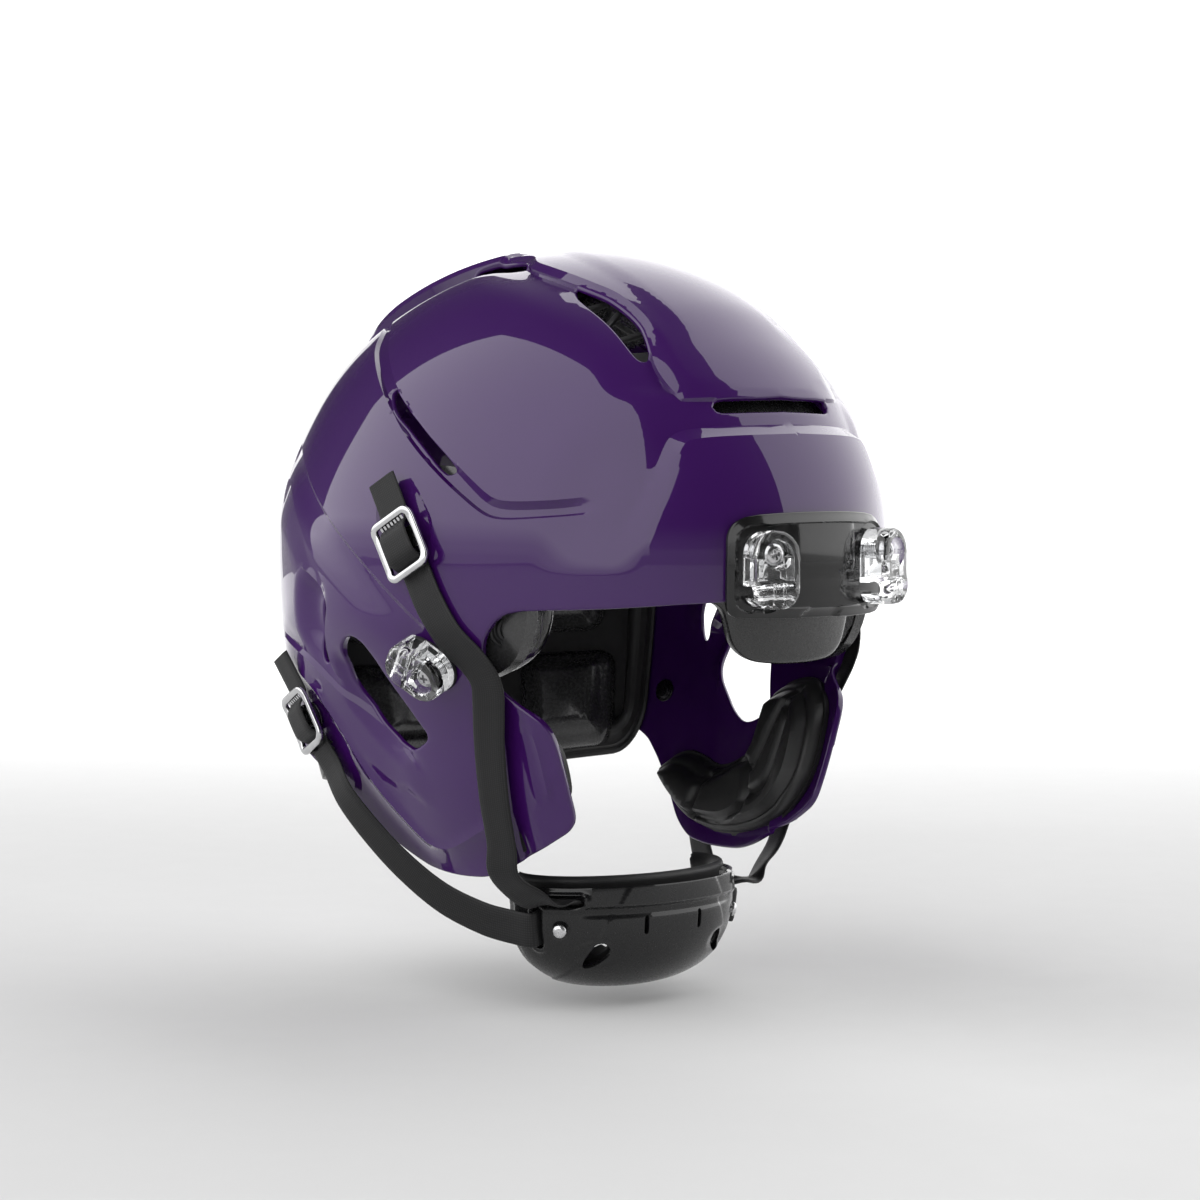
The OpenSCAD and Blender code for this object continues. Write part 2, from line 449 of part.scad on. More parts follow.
function cup_w(at, turn) = let(x = unit(cup_pt(at[0] + 1, at[1], 0) - cup_pt(at[0] - 1, at[1], 0)), d = unit(cup_pt(at[0], at[1] + 1, 0) - cup_pt(at[0], at[1] - 1, 0))) x * cos(turn) - d * sin(turn);
up_free = [[-76, -48, -133], [-68.5, -48.5, -141], [-59, -52, -146.5], cup_pt(up_slot[0], up_slot[1] - 1, 2.6), cup_pt(up_slot[0], up_slot[1] + 0.3, -1.8), cup_pt(up_slot[0], up_slot[1] + 2.8, -5)];
module strap_upper_r() {
    w0 = threaded_w(up_at, up_turn)[0];
    w1 = run_w(up_run, 1.9, w0);
    wc = cup_w(up_slot, 0) * (cup_w(up_slot, 0) * w1[8] < 0 ? -1 : 1);
    webbing(concat(threaded_pts(up_at, up_turn), run_pts(up_run, 1.9), up_free),
        concat(threaded_w(up_at, up_turn), w1, [w1[8] * 0.75 + wc * 0.25, w1[8] * 0.4 + wc * 0.6, w1[8] * 0.12 + wc, wc, wc, wc]));
}
lo_run = [[46, -86], [41, -94]];
// where the lower webbing runs after its buckle: [along, out of the seat]
lo_out = [[-13.6, 2.5], [-16.6, 2.4]];
lo_free = [[-99, 32, -107], [-90.5, 21, -124], [-82, 9, -138], [-74, -5, -149], [-66, -21, -156], [-60.5, -33, -158.6], cup_pt(lo_slot[0] - 1.8, lo_slot[1], 2.6), cup_pt(lo_slot[0] + 0.2, lo_slot[1], -1.8), cup_pt(lo_slot[0] + 2.4, lo_slot[1], -5.25)];
module strap_lower_r() {
    w0 = threaded_w(lo_at, 180 - lo_turn)[0];
    w1 = run_w(lo_run, 2.9, w0);
    wc = cup_w(lo_slot, 90) * (cup_w(lo_slot, 90) * w0 < 0 ? -1 : 1);
    webbing(concat([for (i = [0 : 9]) threaded_pts(lo_at, 180 - lo_turn)[i]], [for (q = lo_out) out_pt(lo_at, 180 - lo_turn, q[0], q[1])], run_pts(lo_run, 2.9), lo_free),
        concat(threaded_w(lo_at, 180 - lo_turn), [w0], w1, [for (i = [1 : 6]) w1[1] * (1 - i / 6) + wc * i / 6], [wc, wc, wc]));
}
module strap_upper_right() color(web_c) strap_upper_r();
module strap_upper_left() color(web_c) left() strap_upper_r();
module strap_lower_right() color(web_c) strap_lower_r();
module strap_lower_left() color(web_c) left() strap_lower_r();

shell();
front_bumper();
front_clip_right();
front_clip_left();
side_clip_right();
side_clip_left();
clip_screws();
clip_nuts();
side_clip_gaskets();
snap_studs();
snap_nuts();
crown_liner();
crown_pad();
front_pad();
side_pad_right();
side_pad_left();
rear_carrier();
rear_pad();
nape_pad();
jaw_pad_right();
jaw_pad_left();
snap_socket_upper_right();
snap_socket_upper_left();
snap_socket_lower_right();
snap_socket_lower_left();
buckle_upper_right();
buckle_upper_left();
buckle_lower_right();
buckle_lower_left();
chin_cup_shell();
chin_cup_liner();
chin_cup_rivets();
strap_upper_right();
strap_upper_left();
strap_lower_right();
strap_lower_left();
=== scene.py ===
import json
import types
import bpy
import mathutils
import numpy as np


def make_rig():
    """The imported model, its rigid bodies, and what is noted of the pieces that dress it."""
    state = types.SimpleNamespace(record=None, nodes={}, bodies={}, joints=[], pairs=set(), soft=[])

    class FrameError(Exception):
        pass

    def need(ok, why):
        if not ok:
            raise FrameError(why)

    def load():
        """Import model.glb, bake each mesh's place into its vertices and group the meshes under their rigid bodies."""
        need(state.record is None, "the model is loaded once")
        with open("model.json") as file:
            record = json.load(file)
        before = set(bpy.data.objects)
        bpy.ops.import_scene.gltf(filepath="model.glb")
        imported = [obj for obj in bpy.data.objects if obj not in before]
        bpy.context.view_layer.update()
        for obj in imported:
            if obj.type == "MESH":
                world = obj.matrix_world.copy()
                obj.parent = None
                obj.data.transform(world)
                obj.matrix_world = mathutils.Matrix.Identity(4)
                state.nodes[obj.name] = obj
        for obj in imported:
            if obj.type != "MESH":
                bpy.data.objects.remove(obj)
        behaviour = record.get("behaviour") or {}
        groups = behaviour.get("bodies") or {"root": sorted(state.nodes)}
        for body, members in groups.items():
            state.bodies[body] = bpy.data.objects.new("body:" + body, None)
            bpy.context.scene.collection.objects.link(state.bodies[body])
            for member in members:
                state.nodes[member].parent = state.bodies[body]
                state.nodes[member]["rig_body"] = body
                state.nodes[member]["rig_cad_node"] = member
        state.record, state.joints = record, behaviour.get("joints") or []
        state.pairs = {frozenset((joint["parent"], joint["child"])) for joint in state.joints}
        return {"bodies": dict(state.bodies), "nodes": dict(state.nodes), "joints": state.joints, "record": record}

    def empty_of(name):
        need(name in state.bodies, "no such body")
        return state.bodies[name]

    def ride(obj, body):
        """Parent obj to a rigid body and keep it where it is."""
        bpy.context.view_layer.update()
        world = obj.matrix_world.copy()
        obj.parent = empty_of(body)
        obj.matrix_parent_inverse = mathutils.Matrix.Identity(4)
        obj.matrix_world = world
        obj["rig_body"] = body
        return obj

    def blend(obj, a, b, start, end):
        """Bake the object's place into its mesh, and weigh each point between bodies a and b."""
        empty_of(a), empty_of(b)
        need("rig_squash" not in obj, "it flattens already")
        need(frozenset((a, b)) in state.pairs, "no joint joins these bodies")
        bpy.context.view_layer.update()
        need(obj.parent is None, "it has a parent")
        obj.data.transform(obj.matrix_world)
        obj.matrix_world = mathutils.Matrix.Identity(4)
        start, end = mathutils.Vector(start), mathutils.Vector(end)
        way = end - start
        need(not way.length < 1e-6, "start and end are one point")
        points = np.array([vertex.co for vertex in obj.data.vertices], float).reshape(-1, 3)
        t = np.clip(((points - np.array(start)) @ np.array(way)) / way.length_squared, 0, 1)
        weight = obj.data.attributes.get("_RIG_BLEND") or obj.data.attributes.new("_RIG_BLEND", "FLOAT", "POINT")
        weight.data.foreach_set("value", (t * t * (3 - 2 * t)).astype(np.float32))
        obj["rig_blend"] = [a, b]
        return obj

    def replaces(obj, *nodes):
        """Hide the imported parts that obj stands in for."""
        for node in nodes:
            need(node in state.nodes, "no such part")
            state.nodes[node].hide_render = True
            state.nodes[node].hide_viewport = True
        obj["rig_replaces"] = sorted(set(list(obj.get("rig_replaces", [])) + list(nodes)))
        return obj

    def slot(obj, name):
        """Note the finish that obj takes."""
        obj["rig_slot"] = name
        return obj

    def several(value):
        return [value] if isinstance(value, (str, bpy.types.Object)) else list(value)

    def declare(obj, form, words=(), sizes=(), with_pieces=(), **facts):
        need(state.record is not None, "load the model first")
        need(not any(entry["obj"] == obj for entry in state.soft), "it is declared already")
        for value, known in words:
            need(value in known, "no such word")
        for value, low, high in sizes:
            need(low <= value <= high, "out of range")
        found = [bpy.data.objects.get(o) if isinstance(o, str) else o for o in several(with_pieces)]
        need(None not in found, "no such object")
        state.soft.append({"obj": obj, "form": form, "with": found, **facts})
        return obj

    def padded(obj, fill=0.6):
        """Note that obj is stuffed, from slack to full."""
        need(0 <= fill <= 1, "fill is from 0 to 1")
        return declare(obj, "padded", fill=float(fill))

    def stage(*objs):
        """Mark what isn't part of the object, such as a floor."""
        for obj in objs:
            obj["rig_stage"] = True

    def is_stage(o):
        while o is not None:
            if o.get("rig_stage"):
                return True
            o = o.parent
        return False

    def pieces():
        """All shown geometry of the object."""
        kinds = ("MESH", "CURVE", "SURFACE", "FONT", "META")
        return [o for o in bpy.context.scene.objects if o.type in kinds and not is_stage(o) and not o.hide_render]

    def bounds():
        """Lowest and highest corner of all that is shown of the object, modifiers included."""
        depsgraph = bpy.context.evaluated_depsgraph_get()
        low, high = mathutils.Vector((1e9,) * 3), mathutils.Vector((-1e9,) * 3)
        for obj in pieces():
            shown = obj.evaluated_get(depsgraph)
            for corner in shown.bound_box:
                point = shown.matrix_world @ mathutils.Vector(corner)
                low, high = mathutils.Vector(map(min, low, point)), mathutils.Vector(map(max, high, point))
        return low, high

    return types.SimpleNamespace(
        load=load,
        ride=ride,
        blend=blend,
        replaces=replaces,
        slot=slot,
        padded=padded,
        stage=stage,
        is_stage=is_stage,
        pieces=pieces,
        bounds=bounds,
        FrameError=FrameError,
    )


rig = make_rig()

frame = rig.load()

import json
import math

import bpy
import numpy as np
from mathutils import Matrix, Vector
from mathutils.geometry import delaunay_2d_cdt
from mathutils.kdtree import KDTree

BOX_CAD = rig.bounds()
MM = 0.001


# ---------------------------------------------------------------- dome surface (millimetres)
def sm(t):
    t = np.clip(t, 0.0, 1.0)
    return t * t * (3 - 2 * t)


def draw_in(y, z):
    return 1 - (1 - sm(y / 80)) * (0.13 * sm((-z - 25) / 60) + 0.09 * sm((-z - 70) / 80))


def _fy(y, g):
    return np.where(y < 0, 155.0, 145.0) + g


def _cz(z, g):
    return np.where(z > 0, 127.7, 235.0) + g


def from_dir(d, g=0.0):
    d = d / np.linalg.norm(d, axis=-1, keepdims=True)
    r = 1 / np.sqrt((d[:, 0] / (120 + g)) ** 2 + (d[:, 1] / _fy(d[:, 1], g)) ** 2 + (d[:, 2] / _cz(d[:, 2], g)) ** 2)
    p = d * r[:, None]
    p[:, 0] *= draw_in(p[:, 1], p[:, 2])
    return p


def az_el(az, el, g=0.0):
    a, e = np.radians(np.atleast_1d(az).astype(float)), np.radians(np.atleast_1d(el).astype(float))
    a, e = np.broadcast_arrays(a, e)
    return from_dir(np.stack([np.sin(a) * np.cos(e), -np.cos(a) * np.cos(e), np.sin(e)], -1), g)


def side_x(y, z, g=0.0):
    y, z = np.asarray(y, float), np.asarray(z, float)
    return (120 + g) * draw_in(y, z) * np.sqrt(np.maximum(1e-4, 1 - (y / _fy(y, g)) ** 2 - (z / _cz(z, g)) ** 2))


def front_y(x, z, g=0.0):
    x, z = np.asarray(x, float), np.asarray(z, float)
    return (155 + g) * np.sqrt(np.maximum(1e-4, 1 - (x / (120 + g)) ** 2 - (z / _cz(z, g)) ** 2))


def top_z(x, y, g=0.0):
    x, y = np.asarray(x, float), np.asarray(y, float)
    return (127.7 + g) * np.sqrt(np.maximum(1e-4, 1 - (x / (120 + g)) ** 2 - (y / _fy(y, g)) ** 2))


def _f(p, g=0.0):
    x, y, z = p[:, 0], p[:, 1], p[:, 2]
    return (x / ((120 + g) * draw_in(y, z))) ** 2 + (y / _fy(y, g)) ** 2 + (z / _cz(z, g)) ** 2


def out_n(p):
    """Unit way out of the dome at points p."""
    p = np.atleast_2d(np.asarray(p, float))
    n = np.empty_like(p)
    for k in range(3):
        h = np.zeros(3)
        h[k] = 0.5
        n[:, k] = _f(p + h) - _f(p - h)
    return n / np.linalg.norm(n, axis=1, keepdims=True)


def to_q(p):
    p = np.atleast_2d(np.asarray(p, float))
    d = p.copy()
    d[:, 0] /= draw_in(p[:, 1], p[:, 2])
    d /= np.linalg.norm(d, axis=1, keepdims=True)
    return d[:, :2] / (1 + d[:, 2:3])


def from_q(q, g=0.0):
    s = (q ** 2).sum(1)
    d = np.c_[2 * q[:, 0], 2 * q[:, 1], 1 - s] / (1 + s)[:, None]
    return from_dir(d, g)


# ---------------------------------------------------------------- plane curves
def arr(p):
    return np.asarray(p, float)


def chaikin(p, k=2, closed=False):
    p = arr(p)
    for _ in range(k):
        a = p
        b = np.roll(p, -1, 0) if closed else p[1:]
        if not closed:
            a = p[:-1]
        q = np.empty((2 * len(a), p.shape[1]))
        q[0::2] = a * 0.75 + b * 0.25
        q[1::2] = a * 0.25 + b * 0.75
        if not closed:
            q = np.vstack([p[:1], q, p[-1:]])
        p = q
    return p


def resample(p, step, closed=False):
    p = arr(p)
    if closed:
        p = np.vstack([p, p[:1]])
    s = np.r_[0, np.cumsum(np.linalg.norm(np.diff(p, axis=0), axis=1))]
    n = max(3, int(round(s[-1] / step)))
    t = np.linspace(0, s[-1], n + 1)
    q = np.stack([np.interp(t, s, p[:, k]) for k in range(p.shape[1])], 1)
    return q[:-1] if closed else q


def offset(p, d, closed=False):
    """Curve moved d to its left."""
    p = arr(p)
    if closed:
        t = np.roll(p, -1, 0) - np.roll(p, 1, 0)
    else:
        t = np.gradient(p, axis=0)
    t /= np.maximum(1e-9, np.linalg.norm(t, axis=1, keepdims=True))
    return p + d * np.stack([-t[:, 1], t[:, 0]], 1)


def sdist(pts, poly, closed=False):
    """Distance to a curve, positive on its left."""
    pts, poly = arr(pts), arr(poly)
    if closed:
        poly = np.vstack([poly, poly[:1]])
    best = np.full(len(pts), 1e9)
    sign = np.ones(len(pts))
    for i in range(len(poly) - 1):
        a, b = poly[i], poly[i + 1]
        ab = b - a
        l2 = max(1e-12, float(ab @ ab))
        ap = pts - a
        t = np.clip((ap @ ab) / l2, 0, 1)
        dv = ap - t[:, None] * ab
        d = np.sqrt((dv ** 2).sum(1))
        s = np.where(ab[0] * ap[:, 1] - ab[1] * ap[:, 0] >= 0, 1.0, -1.0)
        m = d < best - 1e-9
        best = np.where(m, d, best)
        sign = np.where(m, s, sign)
    return best * sign


def inside(pts, poly):
    pts, poly = arr(pts), arr(poly)
    c = np.zeros(len(pts), bool)
    j = len(poly) - 1
    for i in range(len(poly)):
        yi, yj = poly[i, 1], poly[j, 1]
        if yi != yj:
            t = (pts[:, 1] - yi) / (yj - yi)
            x = poly[i, 0] + t * (poly[j, 0] - poly[i, 0])
            c ^= ((yi > pts[:, 1]) != (yj > pts[:, 1])) & (pts[:, 0] < x)
        j = i
    return c


def sdpoly(pts, poly):
    """Distance to a closed curve, positive inside."""
    return np.abs(sdist(pts, poly, True)) * np.where(inside(pts, poly), 1.0, -1.0)


def ramp(d, a, b):
    return np.clip((d - a) / (b - a), 0, 1)


# ---------------------------------------------------------------- shell features, right side (|x|, y, z in mm)
PROFILE = arr([(-160, -17.8), (-147, -18.5), (-132, -20), (-115, -21.5), (-92, -22.3), (-84, -23.2), (-79, -25.5), (-75, -30), (-71.5, -35),
    (-69.5, -40), (-68.5, -45), (-68, -50), (-68.2, -54.5), (-70, -58), (-75, -62), (-80, -65), (-84, -68.2), (-86.5, -73), (-87, -80), (-86.8, -91), (-86.2, -103),
    (-85.4, -109.5), (-82.2, -114), (-76, -117.6), (-66, -123.2), (-52, -130.5), (-42, -135.3), (-33, -138), (-25, -139), (-10, -139.3), (0, -138.3), (7, -136.7),
    (19, -130), (27, -122.8), (42, -110), (50, -102.8), (58, -96.5), (66, -92), (76, -89.7), (88, -89.2), (100, -89.7), (112, -91.3), (125, -93.8), (135, -95.2), (145, -96), (160, -96)])
EAR_OUT = arr([(13.6, -43), (9, -38.6), (4, -36), (-2.5, -37.2), (-7.5, -41.3), (-15.2, -57.8), (-22.6, -72.2), (-25.4, -76.2), (-23.2, -79.6), (-13.5, -84), (-7, -83.6),
    (1.5, -78), (10.4, -68.8), (16, -61), (16.4, -52)])
SLIT = arr([(30.5, -19.5), (24, -21), (23.2, -24.5), (26.6, -34), (29, -47), (31.5, -50.5), (34.5, -49), (36, -43), (35, -31), (33, -22)])
SIDE_SLOT = arr([(-2.6, 69.6), (-15, 61.2), (-26, 55.2), (-38, 47.2), (-46.5, 41.6), (-55.5, 35.2), (-54.6, 32.4), (-51, 31.8), (-37, 42.4), (-25, 50.4), (-14, 57), (-5, 64.2), (-2.2, 67.2)])
VENT_F = arr([(42.4, -52), (45.5, -57), (47.6, -68), (48.2, -84), (49.4, -98), (48.6, -103.5), (45.6, -104.5), (43.2, -100), (40.2, -94), (39.8, -78), (42, -68), (42.8, -58)])
VENT_R = arr([(28, 15.6), (34.5, 24), (40, 29.4), (43.5, 28), (43.4, 14), (41.6, 0), (39, -8), (35.6, -10.4), (31.4, -5), (28.8, 5)])
FRONT_SLOT = arr([(0, 63.0), (26, 62.4), (31.2, 61.8), (32.6, 60.0), (30.8, 58.2), (24, 58.5), (0, 59.1)])
RIDGE = arr([(0, 128), (24, 124), (42, 112), (52, 95), (56, 78), (56, 64), (51, 50), (44, 38), (35, 28), (27.4, 18), (26.8, 12), (28.4, 0), (31, -7), (36, -13), (39.6, -20), (41.4, -30),
    (42.4, -42), (42.2, -52), (41.4, -62), (39.6, -71), (39.2, -80), (39.4, -92), (41.4, -98), (43.8, -103), (46.6, -109), (46.4, -116), (44.4, -122), (41, -128), (30, -133), (0, -138)])
BROW = arr([(0, 53.4), (8.5, 53.2), (31, 52.6), (44, 51.6), (50, 50.2), (54.5, 46.5), (59.4, 38), (64.2, 29.6), (68.2, 22), (71.4, 15.9), (74, 9), (75.8, 3), (76.6, -4), (76.6, -14), (76.6, -40)])
CREST = arr([(2, 34), (9, -2.3), (15, -24), (19.7, -42.5), (22, -60), (23.2, -72.5), (24.2, -86.5), (24.4, -104), (23, -116)])
G_UP = arr([(70, 104), (58, 102.6), (49, 101), (38.2, 97.3), (28, 91.6), (20.2, 86.7), (7, 78.1), (-6.8, 68.2), (-26, 56.4), (-47, 42.4), (-64, 30.4), (-73, 23.8), (-77, 21.8), (-82, 21), (-92, 21.2), (-101, 22), (-116, 24.6)])
G_LO = arr([(70, 98), (60, 97.6), (50, 96), (41.1, 92.4), (32.9, 86), (22, 79.6), (12.3, 73.4), (-2.5, 63.4), (-12, 57), (-23, 48.8), (-37, 39.2), (-50, 30.4), (-62, 22.4), (-71, 16.4), (-76, 14.2), (-82, 13.6), (-92, 14.2), (-104, 15.4), (-118, 17.6)])
C_BACK = arr([(96, 52), (84, 48.6), (73.6, 44.6), (56.7, 37.4), (42.6, 30), (25.4, 19.6), (11.2, 10.6), (-2.1, 1.6), (-20.9, -11.8), (-40.8, -26.6), (-52, -35.4)])
C_BACK2 = arr([(96, 31), (84, 30.4), (69.7, 26), (57.1, 18.9), (48, 12), (40.9, 6.6), (32, -1.6), (25, -8.6), (18, -17)])
S_FRONT = arr([(44, -8), (32, -12.4), (23, -17.2), (17.4, -22.4), (18, -26.6), (21.5, -33), (24, -42), (25.2, -51), (23, -56.4), (16, -61.6)])
S_REAR = arr([(44, -8), (50, -13), (53, -28), (50, -42), (42, -50), (34, -55), (25, -58.6), (16, -61.6)])
RIB_UP = arr([(88, -37), (70, -39.5), (55, -43), (43, -47), (33, -53.2), (24, -59.6), (14, -67), (3, -75.6), (-9.5, -85.6), (-18, -92)])
RIB_LO = arr([(88, -44), (70, -47), (58, -50.5), (48, -55), (39, -63), (31, -73), (22, -85), (12, -93), (3, -98)])
C_LOW = arr([(60, -52.5), (50, -57), (41.5, -63), (33, -75.5), (26.5, -88), (19.6, -100.5), (10, -112.5), (0.6, -121.6), (-6, -125.4), (-13.5, -126.4), (-22, -124.4), (-38, -117), (-50, -111.2), (-57.5, -107.4)])
FLAP = arr([(-69, -50), (-66.5, -55), (-64, -68), (-60.6, -86), (-57, -103), (-54.4, -119), (-53.6, -131), (-53, -142)])
FLAP2 = arr([(-74, -66), (-73.6, -76), (-73, -90), (-71.6, -108)])
FLAP3 = arr([(-78.5, -70), (-79, -80), (-78.6, -96), (-77, -108)])

UP_AT, LO_AT = (-38.0, 3.0), (52.0, -74.0)
SNAP_UV = arr([(26, -7), (26, 6), (22.5, 12), (6, 15), (1, 14.6), (-4, 10), (-9, 5), (-9, -8), (-2, -13), (20, -13)])
LOW_POCKET = arr([(44, -63), (54, -57), (66, -54), (78, -58), (82, -70), (80, -86), (70, -90.5), (60, -95), (46, -104), (36, -110), (30, -103), (31.5, -92), (35.5, -76)])


def snap_uv(yz):
    """Along and across the upper strap, from its snap."""
    r = yz - arr(UP_AT)
    u = r @ np.array((0.4806, 0.8770))
    v = r @ np.array((-0.8770, 0.4806))
    return np.stack([u, v], 1)


def uv_yz(uv):
    uv = arr(uv)
    return arr(UP_AT) + uv[:, :1] * np.array((0.4806, 0.8770)) + uv[:, 1:] * np.array((-0.8770, 0.4806))


S = {}
for _n, _p, _c in (("ridge", RIDGE, 0), ("crest", CREST, 0), ("brow", BROW, 0), ("gu", G_UP, 0), ("gl", G_LO, 0), ("cb", C_BACK, 0), ("cb2", C_BACK2, 0), ("sf", S_FRONT, 0), ("sr", S_REAR, 0),
        ("ru", RIB_UP, 0), ("rl", RIB_LO, 0), ("cl", C_LOW, 0), ("fl", FLAP, 0), ("fl2", FLAP2, 0), ("fl3", FLAP3, 0), ("prof", PROFILE, 0)):
    S[_n] = resample(chaikin(_p, 2), 2.0)
S["snap"] = resample(chaikin(SNAP_UV, 2, True), 1.5, True)
S["lowp"] = resample(chaikin(LOW_POCKET, 2, True), 2.0, True)


def beside_ridge(c):
    """Moves the ridge side of a vent to lie along the ridge's foot."""
    c = resample(chaikin(c, 2, True), 1.2, True)
    d = sdist(c, S["ridge"])
    e = 0.5
    g = np.stack([sdist(c + (e, 0), S["ridge"]) - sdist(c - (e, 0), S["ridge"]), sdist(c + (0, e), S["ridge"]) - sdist(c - (0, e), S["ridge"])], 1)
    g /= np.linalg.norm(g, axis=1, keepdims=True)
    want = np.where(d < 1.9, 0.4, np.where(d < 4.5, 0.4 + (d - 1.9) * 4.1 / 2.6, d))
    return c + g * (want - d)[:, None]


HOLES = [("yz", chaikin(EAR_OUT, 2, True)), ("yz", chaikin(SLIT, 2, True)), ("yz", chaikin(SIDE_SLOT, 2, True)), ("xy", beside_ridge(VENT_F)), ("xy", beside_ridge(VENT_R))]
S["ear"] = resample(HOLES[0][1], 1.6, True)


def brow_w(z):
    return 5.4 + 2.2 * sm((44 - z) / 22)


def ridge_w(y):
    return 3.9 + 4.0 * sm((-y - 96) / 14) * (1 - sm((-y - 124) / 8))


def relief(p):
    """Height of the shell's outer face over the smooth dome, in mm."""
    ax, y, z = np.abs(p[:, 0]), p[:, 1], p[:, 2]
    yz, xy, xz = np.stack([y, z], 1), np.stack([ax, y], 1), np.stack([ax, z], 1)
    side = ax > 45
    h = -2.6 * sm((z - 5) / 55)
    # band over the brow, and the side panel beside the brow
    fr = (y < -70)
    h = h - 1.3 * sm((60 - ax) / 12) * sm((z - 38) / 8) * (1 - sm((z - 54) / 14)) * fr
    h = h - 2.2 * sm((-y - 92) / 20) * sm((z + 8) / 22) * (1 - sm((z - 36) / 20))
    # brow panel
    m = fr & (z < 56)
    d = -sdist(xz[m], S["brow"])
    w = brow_w(z[m])
    k = np.clip(d / w, 0, 1)
    h[m] = h[m] * (1 - k) + (-0.35) * k
    # crown ridge
    m = (z > 55)
    d = -sdist(xy[m], S["ridge"])
    yy, hh = y[m], h[m]
    above = np.maximum(ramp(z[m], 62.1, 63.0), (yy > 0) * 1.0)
    tr = 2.0 * (1 - sm(-d / 24)) * (1 - ramp(d, 0, 0.5)) * sm((z[m] - 62) / 8) * (1 - sm((yy - 92) / 22))
    hh = hh - tr
    wall = ramp(d, 0, 0.5)
    tgt = -2.5 + 1.9 * np.clip((d - 0.5) / (ridge_w(yy) - 0.5), 0, 1)
    lift = 1.7 * ramp(yy, 15.2, 16.6) * (1 - sm((yy - 58) / 30)) * (1 - sm((d - 8) / 14))
    tgt = tgt + lift
    keep = 1 - sm((yy - 96) / 26)
    k = wall * above
    tgt = tgt * keep + (-0.9) * (1 - keep)
    h[m] = hh * (1 - k) + tgt * k
    # long creases on the crown
    m = (z > 60) & (y < 40)
    d = sdist(xy[m], S["crest"])
    h[m] += 0.75 * (1 - ramp(d, 0, 7)) * sm((-y[m] + 24) / 30) * (1 - sm((-y[m] - 92) / 22))
    # side channel
    m = side & (y > -122) & (y < 75) & (z > 5)
    du, dl = -sdist(yz[m], S["gu"]), sdist(yz[m], S["gl"])
    # the curves run from back to front, so below the upper one is its left
    du, dl = -du, -dl
    on = (du > 0) & (dl > 0)
    a = du / np.maximum(1e-6, du + dl)
    f = sm((y[m] + 115) / 14) * (1 - sm((y[m] - 46) / 16))
    wu = np.clip(0.8 + (-18 - y[m]) / 22, 0.8, 3.2)
    dep = np.maximum(-3.2 * ramp(du, 0, wu), (-3.2 + 1.7 * a)) * ramp(dl, 0, 0.9)
    h[m] += np.where(on, dep, 0) * f
    # creases on the back of the side
    m = side & (z < 56) & (z > -50) & (y > -56)
    d = sdist(yz[m], S["cb"])
    f = sm((y[m] + 54) / 16) * (1 - sm((y[m] - 80) / 14))
    h[m] -= np.where(d > 0, 1.7 * ramp(d, 0, 2.6) * (1 - sm((d - 3) / 20)), 0) * f
    d = sdist(yz[m], S["cb2"])
    f = sm((y[m] - 17) / 8) * (1 - sm((y[m] - 80) / 14))
    h[m] -= np.where(d > 0, 1.6 * ramp(d, 0, 2.0) * (1 - sm((d - 2) / 18)), 0) * f
    # deep pocket with the rear slit
    m = side & (z < -4) & (z > -70) & (y > 10) & (y < 60)
    df, dr = sdist(yz[m], S["sf"]), sdist(yz[m], S["sr"])
    df, dr = df, -dr
    on = (df > 0) & (dr > 0)
    h[m] += np.where(on, -6.6 * ramp(df, 0, 1.4) * sm(dr / 15), 0)
    # ground that falls to the ear window's rear edge
    m = side & (z < -30) & (z > -95) & (y > -16) & (y < 34)
    d = -sdpoly(yz[m], S["ear"])
    f = sm((y[m] + 14 + (z[m] + 84) * 0.0) / 14) * sm((-z[m] - 40) / 12)
    h[m] -= 3.0 * (1 - sm(d / 8)) * f * (d > 0)
    # rib below the window
    m = side & (z < -30) & (y > -24) & (y < 90)
    du, dl = sdist(yz[m], S["ru"]), sdist(yz[m], S["rl"])
    f = sm((y[m] + 20) / 16) * (1 - sm((y[m] - 60) / 26))
    h[m] += f * (np.where(du < 0, -1.2 * (1 - sm(-du / 9)), -1.2 + 1.7 * ramp(du, 0, 1.5)) - 0.7 * sm(dl / 6))
    # lower crease and the bevel under it
    m = side & (z < -45) & (y < 66) & (y > -64)
    d = sdist(yz[m], S["cl"])
    f = sm((64 - y[m]) / 12) * sm((y[m] + 63) / 12)
    h[m] += f * (0.8 * np.clip(1 - np.abs(d) / 3.2, 0, 1) - 2.4 * ramp(d, 0, 9))
    m = side & (z < -50) & (y > 20) & (y < 92)
    d = sdpoly(yz[m], S["lowp"])
    h[m] = np.where(d > 0, h[m] * (1 - ramp(d, 0, 3)) + (-1.35) * ramp(d, 0, 3), h[m])
    # front of the jaw flap, folded in
    m = side & (z < -44) & (y < -44)
    d = -sdist(yz[m], S["fl"])
    f = sm((-z[m] - 48) / 12)
    h[m] -= f * np.where(d > 0, 2.8 * ramp(d, 0, 1.6) * (1 - 0.8 * sm((d - 3) / 15)), 0)
    for nm in ("fl2", "fl3"):
        d = sdist(yz[m], S[nm])
        h[m] += 0.55 * np.clip(1 - np.abs(d) / 1.8, 0, 1) * sm((-z[m] - 68) / 8) * (1 - sm((-z[m] - 98) / 10))
    # seat of the upper snap
    m = side & (z > -20) & (z < 40) & (y > -66) & (y < -8)
    d = sdpoly(snap_uv(yz[m]), S["snap"])
    h[m] = h[m] * (1 - ramp(d, 0, 1.3)) + (-1.35) * ramp(d, 0, 1.3)
    return h


